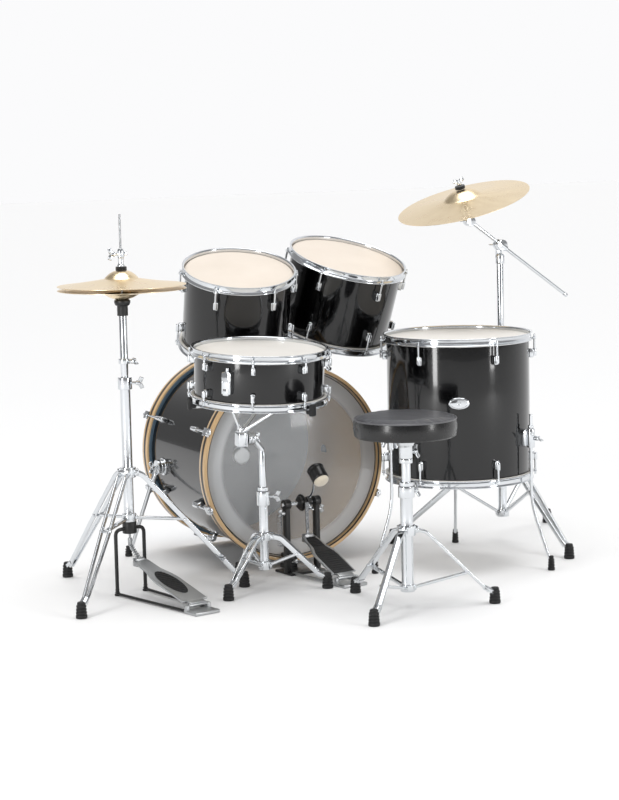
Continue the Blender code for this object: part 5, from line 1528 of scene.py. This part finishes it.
def bass_pedal():
    place = pedal_frame("bass_footboard_press", BASS_HEEL)
    steel = [block((0.120, 0.088, 0.0065), (0, AXLE_Y + 0.012, 0.0034), edge=0.002)]
    steel.append(block((0.034, 0.046, 0.0130), (0, -0.013, 0.0075), edge=0.003))
    steel.append(block((0.030, 0.034, 0.0120), (0, -0.0090, 0.0375), (9, 0, 0), 0.0030))
    steel.append(block((0.026, 0.016, 0.040), (0, -0.034, 0.022), edge=0.004))
    for way in (-1, 1):
        x = way * PEDAL_HALF
        section = rounded(
            [(0.008, 0.009), (-0.008, 0.009), (-0.008, -0.009), (0.008, -0.009)], 0.0035, closed=True
        )
        steel.append(swept([(x, AXLE_Y, 0.003), (x, AXLE_Y, AXLE_Z)], section, side=(1, 0, 0)))
        housing = [(0.0068, -0.010), (0.0150, -0.010), (0.0150, 0.010), (0.0068, 0.010)]
        steel.append(turned(housing, (x, AXLE_Y, AXLE_Z), (1, 0, 0), 40, ring=True, ease=0.0015))
    piece("bass_pedal_posts", steel, PAINT, "kit", ["bass_pedal_frame"], place)
    silver = heel_shapes(BASS_HEEL)
    for way in (-1, 1):
        silver.append(
            rod([(way * 0.046, AXLE_Y - 0.020, 0.0056), (way * 0.034, BASS_HEEL[0] + 0.006, 0.0056)], 0.0036)
        )
        silver += wing_bolt((way * 0.0580, AXLE_Y, 0.180), (way, 0, 0), 0.022, 0.010)
    silver += wing_bolt((0, -0.040, 0.024), (0, -1, 0.15), 0.032, 0.014)
    piece("bass_pedal_heel", silver, ALUMINIUM, "kit", matrix=place)
    footboard(
        "bass_pedal_board", "bass_pedal_footboard", "bass_footboard", place, BASS_HEEL, 0.220, 24.0, False
    )

    pivot = Vector((0, AXLE_Y, AXLE_Z))
    back = math.radians(45.0)
    shaft, face = Vector((0, -math.sin(back), math.cos(back))), Vector((0, math.cos(back), math.sin(back)))
    head_at = pivot + shaft * BEATER_REACH
    aside = Vector((0.020, 0, 0))
    tooth = block((0.0035, 0.0030, 0.0040), edge=0.0008)
    sprocket = [round_drum([tooth], 22, 0.0232, 0.0), disc(0.0225, -0.002, 0.002, sides=48, ease=0.0004)]
    cam = [moved(mesh, aim(pivot, (1, 0, 0))) for mesh in sprocket]
    cam.append(disc(0.0185, -0.009, 0.009, at=pivot, axis=(1, 0, 0), sides=48, ease=0.002))
    cam.append(disc(0.0125, 0.011, 0.031, at=pivot, axis=(1, 0, 0), sides=40, ease=0.002))
    cam.append(block((0.018, 0.016, 0.026), pivot + aside + shaft * 0.006, (45, 0, 0), 0.003))
    piece("bass_pedal_cam", cam, PAINT, "bass_beater", matrix=place)
    silver = [
        disc(0.0060, -0.066, 0.066, at=pivot, axis=(1, 0, 0), sides=32),
        rod(
            [
                pivot + aside - shaft * 0.020, pivot + aside + shaft * 0.050, head_at - shaft * 0.036,
                head_at + shaft * 0.004,
            ],
            0.0032, 0.02,
        ),
        *wing_bolt(pivot + aside - face * 0.010, -face, 0.022, 0.010),
    ]
    piece("bass_pedal_axle", silver, CHROME, "bass_beater", ["bass_pedal_beater"], place)
    wrap = [
        (0, -0.0165), (0.0235, -0.0165), (0.0244, -0.0150), (0.0248, -0.012), (0.0248, 0.014), (0.0235, 0.016),
        (0, 0.016),
    ]
    core = [turned(wrap, head_at, face, 48, ease=0.0012)]
    button = [(0, 0.016), (0.0250, 0.016), (0.0252, 0.024), (0.0205, 0.029), (0, 0.030)]
    core.append(turned(button, head_at, face, 48, ease=0.002))
    piece("bass_beater_core", core, BLACK_PLASTIC, "bass_beater", matrix=place)
    pad = [(0, -0.030), (0.0150, -0.030), (0.0205, -0.026), (0.0225, -0.019), (0.0205, -0.016), (0, -0.016)]
    piece(
        "bass_beater_felt", [turned(pad, head_at, face, 48, ease=0.002)], CREAM_FELT, "bass_beater",
        matrix=place,
    )

    low, high = AXLE_Z - 0.082, AXLE_Z + 0.004
    front = AXLE_Y - 0.025 - 0.003
    links = repeated(
        LINE, link(), Count=10, Start=(0, front, high - 0.004), Step=(0, -0.0002, -0.0080), Roll=0.0,
        Material=STEEL,
    )
    hook = [block((0.008, 0.0055, 0.012), (0, front - 0.0020, low - 0.001), edge=0.001)]
    piece("bass_pedal_links", [links, *hook], STEEL, "bass_chain", ["bass_pedal_chain"], place)
    spring = coil_upright(0.085, 0.180, 0.0070, 0.0011, 17)
    spring = [moved(spring, Matrix.Translation((-PEDAL_HALF - 0.024, AXLE_Y, 0)))]
    spring.append(rod([(-PEDAL_HALF - 0.0085, AXLE_Y, 0.0855), (-PEDAL_HALF - 0.026, AXLE_Y, 0.0855)], 0.0022))
    piece("bass_pedal_coil", spring, STEEL, "kit", ["bass_pedal_spring"], place)


def coil_upright(low, high, radius, wire, turns):
    """A spring that stands upright."""
    steps = 14
    rise = (high - low) / (turns * steps)
    path = [polar(radius, 360 * k / steps, low + rise * k) for k in range(turns * steps + 1)]
    return rod(path, wire, sides=8)


bass_pedal()

# %% Hi-hat pedal
HAT_HEEL = (-0.320, 0.020)


def hat_pedal():
    place = pedal_frame("hihat_footboard_press", HAT_HEEL)
    ring = [(0.0050, 0.172), (0.0200, 0.172), (0.0200, 0.2047), (0.0050, 0.2047)]
    steel = [turned(ring, ring=True, ease=0.002)]
    for way in (-1, 1):
        path = [(way * 0.012, 0, 0.187), (way * 0.047, 0, 0.184), (way * 0.047, 0, 0.0)]
        steel.append(rod(path, 0.0052, 0.030))
        rail = [
            (way * 0.047, 0.004, 0.0056), (way * 0.047, -0.020, 0.0056),
            (way * 0.034, HAT_HEEL[0] + 0.006, 0.0056),
        ]
        steel.append(rod(rail, 0.0040, 0.01))
        steel.append(boot(0.0085, 0.020, 2, (way * 0.047, 0, 0)))
    piece("hihat_pedal_rods", steel, PAINT, "kit", ["hihat_pedal_frame"], place)
    piece("hihat_pedal_heel", heel_shapes(HAT_HEEL), ALUMINIUM, "kit", matrix=place)
    footboard("hihat_pedal_board", "hihat_footboard", "hihat_footboard", place, HAT_HEEL, 0.300, 15.0, True)
    rod_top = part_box("hihat_rod")[1].z
    slope = math.radians(15.0)
    toe = HAT_HEEL[0] + math.cos(slope) * 0.288, HAT_HEEL[1] + math.sin(slope) * 0.288
    rods = [disc(0.0030, 0.140, rod_top, sides=20, ease=0.001), disc(0.0060, 0.138, 0.158, sides=24)]
    chain_top, chain_low = 0.142, toe[1] + 0.0145
    run = Vector((0, toe[0], chain_low - chain_top))
    count = round(run.length / 0.0078)
    lean = Matrix.Rotation(math.atan2(run.y, -run.z) * -1, 4, "X")
    links = [moved(mesh, lean) for mesh in link()]
    rods.append(
        repeated(
            LINE, links, Count=count + 1, Start=(0, 0, chain_top - 0.002), Step=run / count, Roll=0.0,
            Material=STEEL,
        ),
    )
    piece("hihat_pull_rod", rods, STEEL, "hihat_pull", ["hihat_rod"], place)


hat_pedal()
print("pedals made")

# %% [markdown]
# ## The boom stand and the crash
# A tube slides in the tripod's tube and carries a clamp. The boom slides through the clamp and tips with it, and
# on its end a tilter holds the crash between two felts.

# %% Boom stand
CLAMP = Vector(JOINTS["boom_tilt"]["pos_m"])
TILTER = Vector(JOINTS["cymbal_tilt"]["pos_m"])
SEAT = Vector(JOINTS["crash_rock"]["pos_m"])
BOOM_WAY = Vector(JOINTS["boom_slide"]["axis"]).normalized()
BOOM_SIDE = -0.0090
STEM_SIDE = Vector((0, 0.0092, 0))


def boom_stand():
    place = Matrix.Translation((CLAMP.x, CLAMP.y, 0))
    bands = [(0.078, 0.100, 0.0195), (0.270, 0.296, 0.0225), (0.570, 0.600, 0.0195)]
    tube = [(0, 0.078), *collar_on(0.0135, bands)[1:-1], (0.0108, 0.600), (0.0108, 0.240), (0, 0.240)]
    metal, boots = tripod(
        0.340, -86.0, (0.013, 0.283), (0.040, 0.277), 0.036, 0.40, (0.013, 0.089), 0.024, LEG_STRAP
    )
    metal += [turned(tube, ease=0.0012), lock_ring(0.0108, 0.0150, 0.6003, 0.612)]
    metal += wing_bolt((0.016, 0, 0.586), (1, 0, 0), 0.036, 0.022)
    piece("boom_stand_tripod", metal, CHROME, "kit", ["boom_stand_base"], place)
    piece("boom_stand_feet", boots, RUBBER, "kit", matrix=place)
    shapes = [
        disc(0.0105, 0.425, 0.888, sides=40),
        turned(
            [(0, 0.858), (0.0125, 0.858), (0.0140, 0.862), (0.0140, 0.884), (0.0105, 0.888), (0, 0.888)],
            ease=0.001,
        ),
        block((0.018, 0.0120, 0.040), (0, 0.0072, 0.898), edge=0.002),
        disc(0.017, 0.0004, 0.0135, at=(0, 0, CLAMP.z), axis=(0, 1, 0), sides=48, ease=0.0015),
        *wing_bolt((0, 0.012, CLAMP.z), (0, 1, 0), 0.036, 0.016),
    ]
    piece("boom_stand_tube", shapes, CHROME, "boom_post", ["boom_stand_post"], place)

    line = CLAMP + Vector((0, BOOM_SIDE, 0))
    shapes = [
        disc(0.017, -0.0185, -0.0006, at=CLAMP, axis=(0, 1, 0), sides=48, ease=0.0015),
        turned(
            [(0.0062, -0.020), (0.0098, -0.020), (0.0098, 0.020), (0.0062, 0.020)],
            line - Vector((0, 0.001, 0)), BOOM_WAY, 32, ring=True, ease=0.0012,
        ),
        teeth(CLAMP - Vector((0, 0.0006, 0)), (0, 1, 0)),
    ]
    piece("boom_clamp_block", shapes, CHROME, "boom_clamp", ["boom_clamp"])

    tilt_line = Vector((TILTER.x, CLAMP.y + BOOM_SIDE, TILTER.z))
    front = (tilt_line - line).length
    shapes = [
        disc(0.0055, -0.281, front, at=line, axis=BOOM_WAY, sides=32),
        turned(
            [(0.0055, -0.287), (0.0062, -0.284), (0.0062, -0.273), (0.0055, -0.272)], line, BOOM_WAY, 32,
            ring=True,
        ),
        disc(0.015, -0.0118, -0.0004, at=TILTER, axis=(0, 1, 0), sides=48, ease=0.0015),
    ]
    piece("boom_tube", shapes, CHROME, "boom_arm", ["boom_arm"])


def crash():
    foot = TILTER + STEM_SIDE
    lean = (SEAT - foot).normalized()
    under = (SEAT - foot).length + GAP
    bell = under + 0.0012
    chrome = [
        disc(0.015, 0.0004, 0.0150, at=TILTER, axis=(0, 1, 0), sides=48, ease=0.0015),
        *wing_bolt(TILTER + Vector((0, 0.013, 0)), (0, 1, 0), 0.032, 0.012),
        turned(
            [
                (0, 0.002), (0.0072, 0.002), (0.0072, under - 0.022), (0.0030, under - 0.020),
                (0.0030, bell + 0.030), (0, bell + 0.030),
            ],
            foot, lean, 32, ease=0.0006,
        ),
        turned(
            [(0, under - 0.017), (0.0135, under - 0.017), (0.0135, under - 0.0145), (0, under - 0.0145)], foot,
            lean, 40, ease=0.0006,
        ),
        *wing_bolt(foot + lean * (bell + 0.011), lean, 0.036, 0.014),
    ]
    piece("crash_tilter", chrome, CHROME, "cymbal_tilter", ["cymbal_tilter"])
    felts = [
        turned(
            [
                (0, under - 0.0145), (0.0135, under - 0.0145), (0.0135, under - 0.0045),
                (0.0050, under - 0.0008), (0, under - 0.0008),
            ],
            foot, lean, 40, ease=0.0015,
        ),
        turned(
            [
                (0, bell + 0.0008), (0.0060, bell + 0.0008), (0.0155, bell + 0.0040), (0.0155, bell + 0.013),
                (0, bell + 0.013),
            ],
            foot, lean, 40, ease=0.0015,
        ),
    ]
    piece("crash_felts", felts, BLACK_FELT, "cymbal_tilter")
    low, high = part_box("crash_cymbal")
    radius = (high.y - low.y) / 2
    rim = foot + lean * (bell - 0.040)
    cymbal_piece("crash_plate", "crash_cymbal", cymbal(radius, 0.058, 0.018, 0.022), rim, lean, "crash")


boom_stand()
crash()
print("crash made")

# %% [markdown]
# ## The throne
# The seat is foam on a board, covered with vinyl: a smooth top, a glossier side band, and grey piping where they
# meet. It swells at the sides and dips slightly to the middle. It spins on a post, which slides in a tripod.

# %% The cushion's cloth
SWELL = 0.0035
VOXEL = 0.005
MOST_SWELL = 0.006
PRESSURE = 4.0
FRAMES = 20
SEWN_BAND = 0.004


def puff(cushion, floor, ceiling, centre, reach):
    """Blows a shape up as cloth under pressure, and keeps it within a reach, a floor and a ceiling."""
    scene = bpy.context.scene
    remesh = cushion.modifiers.new("even faces", "REMESH")
    remesh.mode, remesh.voxel_size = "VOXEL", VOXEL
    graph = bpy.context.evaluated_depsgraph_get()
    even = bpy.data.meshes.new_from_object(cushion.evaluated_get(graph), depsgraph=graph)
    cushion.modifiers.remove(remesh)
    cushion.data = even
    start = [v.co.copy() for v in even.vertices]
    moved_by = start
    held = cushion.vertex_groups.new(name="sewn edge")
    held.add([v.index for v in even.vertices if v.co.z < floor + SEWN_BAND], 1.0, "REPLACE")
    cloth = cushion.modifiers.new("cloth", "CLOTH")
    cloth.settings.use_pressure = True
    cloth.settings.uniform_pressure_force = PRESSURE
    cloth.settings.effector_weights.gravity = 0.0
    cloth.settings.vertex_group_mass = held.name
    cloth.settings.quality = 6
    cloth.point_cache.frame_start, cloth.point_cache.frame_end = 1, FRAMES
    for step in range(1, FRAMES + 1):
        scene.frame_set(step)
    graph = bpy.context.evaluated_depsgraph_get()
    puffed = cushion.evaluated_get(graph).to_mesh()
    moved_by = [v.co.copy() for v in puffed.vertices]
    cushion.evaluated_get(graph).to_mesh_clear()
    cushion.modifiers.remove(cloth)
    cushion.vertex_groups.clear()
    scene.frame_set(1)
    for vert, was, now in zip(even.vertices, start, moved_by):
        step = now - was
        spot = was + step * min(1.0, MOST_SWELL / max(step.length, 1e-9))
        out = Vector((spot.x - centre.x, spot.y - centre.y, 0))
        if out.length > reach:
            spot -= out * (1 - reach / out.length)
        vert.co = (spot.x, spot.y, min(max(spot.z, floor), ceiling))
    smooth = cushion.modifiers.new("smooth", "SUBSURF")
    smooth.levels = smooth.render_levels = 1
    graph = bpy.context.evaluated_depsgraph_get()
    done = bpy.data.meshes.new_from_object(cushion.evaluated_get(graph), depsgraph=graph)
    cushion.modifiers.remove(smooth)
    cushion.data = done
    done.name = cushion.name
    done.shade_smooth()
    done.materials.clear()
    done.materials.append(TOP_VINYL)
    print("cushion faces", len(done.polygons), "highest", round(max(v.co.z for v in done.vertices), 4))


# %% Throne
SEAT_LOW, SEAT_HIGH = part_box("throne_seat")
SEAT_RADIUS = (SEAT_HIGH.x - SEAT_LOW.x) / 2
SEAT_THICK = 0.058
STITCHES = 150
SEAT_LEG_STRAP = (0.020, 0.009)


def throne():
    spot = JOINTS["throne_spin"]["pos_m"]
    place = Matrix.Translation((spot[0], spot[1], 0))
    bands = [(0.043, 0.062, 0.0200), (0.196, 0.223, 0.0245), (0.299, 0.329, 0.0220)]
    tube = [(0, 0.043), *collar_on(0.0165, bands)[1:-1], (0.0128, 0.329), (0.0128, 0.140), (0, 0.140)]
    metal, boots = tripod(
        0.237, -20.6, (0.014, 0.212), (0.050, 0.205), 0.034, 0.68, (0.014, 0.0525), 0.0, SEAT_LEG_STRAP
    )
    metal += [turned(tube, ease=0.0012), lock_ring(0.0128, 0.0190, 0.3294, 0.3412)]
    metal += wing_bolt((0.018, 0.006, 0.314), (0.95, 0.3, 0), 0.038, 0.020)
    piece("throne_tripod", metal, CHROME, "kit", ["throne_base"], place)
    piece("throne_feet", boots, RUBBER, "kit", matrix=place)
    top = SEAT_HIGH.z
    bottom = top - SEAT_THICK
    shapes = [
        disc(0.0125, 0.225, bottom - 0.012, sides=40),
        disc(0.0185, 0.392, 0.404, sides=40, ease=0.0015),
    ]
    piece("throne_tube", shapes, CHROME, "throne_post", ["throne_post"], place)

    socket = [
        (0.0130, 0.4045), (0.0185, 0.4045), (0.0185, 0.436), (0.0225, 0.440), (0.0330, bottom - 0.001), (
            0.0330, bottom + 0.0005
        ),
        (0.0130, bottom + 0.0005),
    ]
    shapes = [
        turned(socket, ring=True, ease=0.002), *wing_bolt((0.017, 0.006, 0.420), (0.95, 0.3, 0), 0.038, 0.020)
    ]
    piece("throne_socket", shapes, CHROME, "throne_seat", matrix=place)
    radius = SEAT_RADIUS
    board = turned(
        [(0, bottom), (radius - 0.014, bottom), (radius - 0.012, bottom + 0.006), (0, bottom + 0.006)],
        sides=96, ease=0.001,
    )
    piece("throne_board", [board], BLACK_PLASTIC, "throne_seat", matrix=place)
    seam = top - 0.0100
    band = [(radius - 0.013, bottom + 0.001), (radius - 0.0065, bottom + 0.0005)]
    for k in range(9):
        t = k / 8
        band.append(
            (radius - 0.0030 + 0.0022 * math.sin(math.pi * t), bottom + 0.004 + (seam - bottom - 0.004) * t)
        )
    band += [(radius - 0.012, seam + 0.001), (radius - 0.020, seam - 0.010), (radius - 0.020, bottom + 0.006)]
    side = piece(
        "throne_side_band", [turned(band, sides=128, ring=True)], SIDE_VINYL, "throne_seat", matrix=place
    )
    crown_from = radius - SWELL
    crown = [(0, top - SWELL), (crown_from * 0.5, top - SWELL)]
    for k in range(10):
        angle = math.pi / 2 * k / 9
        crown.append(
            (crown_from - 0.010 + 0.010 * math.sin(angle), top - SWELL - 0.009 + 0.009 * math.cos(angle))
        )
    crown += [(crown_from - 0.004, seam - 0.007), (0, seam - 0.007)]
    cushion = piece(
        "throne_cushion_top", [turned(crown, sides=96)], TOP_VINYL, "throne_seat", ["throne_seat"], place
    )
    puff(cushion, seam - 0.006, top - 0.0004, place.translation, radius - 0.0052)
    turns = [math.tau * k / 12 for k in range(12)]
    cord = [(0.0022 * math.cos(t) + radius - 0.0035, 0.0022 * math.sin(t) + seam) for t in turns]
    piece("throne_piping", [turned(cord, sides=160, ring=True)], PIPING, "throne_seat", matrix=place)
    stitch = rod([(0, -0.0018, 0), (0.0007, 0, 0), (0, 0.0018, 0)], 0.00035, sides=5)
    stitches = round_drum([stitch], STITCHES, radius - 0.0072, 0.0, seam + 0.0042)
    piece("throne_stitches", [stitches], PIPING, "throne_seat", matrix=place)


throne()
print("throne made")

# %% [markdown]
# ## The room
# Black lacquer and chrome show only what they reflect, so the light matters more than usual. Two tall soft
# boxes draw the long white stripes on the shells, and a wide soft sun overhead fills the heads and lights the
# floor evenly. The room is pale on one side only: chrome mirrors its light and dark halves, and black lacquer
# stays black where it faces the dim one.


# %% Floor and light
BRIGHT_SIDE = (math.sin(math.radians(50)), math.cos(math.radians(50)), 0)
DIM, BRIGHT = 0.34, 1.0
FLOOR_SIZE, FLOOR_DROP = 30.0, 0.0005
SUN_POWER, SUN_SPREAD = 2.05, math.radians(50)
BOX_WIDTH, BOX_HEIGHT, BOX_AIM = 0.7, 3.0, (0, 0, 0.5)


def soft_box(name, at, power):
    data = bpy.data.lights.new(name, "AREA")
    data.shape = "RECTANGLE"
    data.size, data.size_y, data.energy = BOX_WIDTH, BOX_HEIGHT, power
    lamp = bpy.data.objects.new(name, data)
    lamp.location = at
    lamp.rotation_euler = (Vector(BOX_AIM) - Vector(at)).to_track_quat("-Z", "Y").to_euler()
    bpy.context.scene.collection.objects.link(lamp)


def room():
    bm = bmesh.new()
    bmesh.ops.create_grid(bm, x_segments=1, y_segments=1, size=FLOOR_SIZE)
    mesh = bpy.data.meshes.new("floor")
    bm.to_mesh(mesh)
    bm.free()
    mesh.materials.append(finish_of("pale studio floor", "#f2f2f2", 0.85)[0])
    floor = bpy.data.objects.new("floor", mesh)
    floor.location.z = -FLOOR_DROP
    bpy.context.scene.collection.objects.link(floor)
    world = bpy.data.worlds.new("studio room")
    world.use_nodes = True
    tree = world.node_tree
    way = add(tree, "ShaderNodeTexCoord").outputs["Generated"]
    ahead = add(tree, "ShaderNodeVectorMath", {0: way, 1: BRIGHT_SIDE}, operation="DOT_PRODUCT")
    lit = add(
        tree, "ShaderNodeMapRange",
        {"Value": ahead.outputs["Value"], "From Min": 0.30, "From Max": 0.84, "To Min": DIM, "To Max": BRIGHT},
        interpolation_type="SMOOTHSTEP",
    )
    background = tree.nodes["Background"]
    background.inputs["Color"].default_value = linear("#fbfbfc")
    tree.links.new(lit.outputs[0], background.inputs["Strength"])
    bpy.context.scene.world = world
    soft_box("left soft box", (-4.6, -2.2, 1.6), 90)
    soft_box("right soft box", (2.6, -4.8, 1.8), 80)
    sky = bpy.data.lights.new("overhead soft light", "SUN")
    sky.energy, sky.angle = SUN_POWER, SUN_SPREAD
    bpy.context.scene.collection.objects.link(bpy.data.objects.new("overhead soft light", sky))


room()
bpy.context.scene.view_settings.view_transform = "Standard"
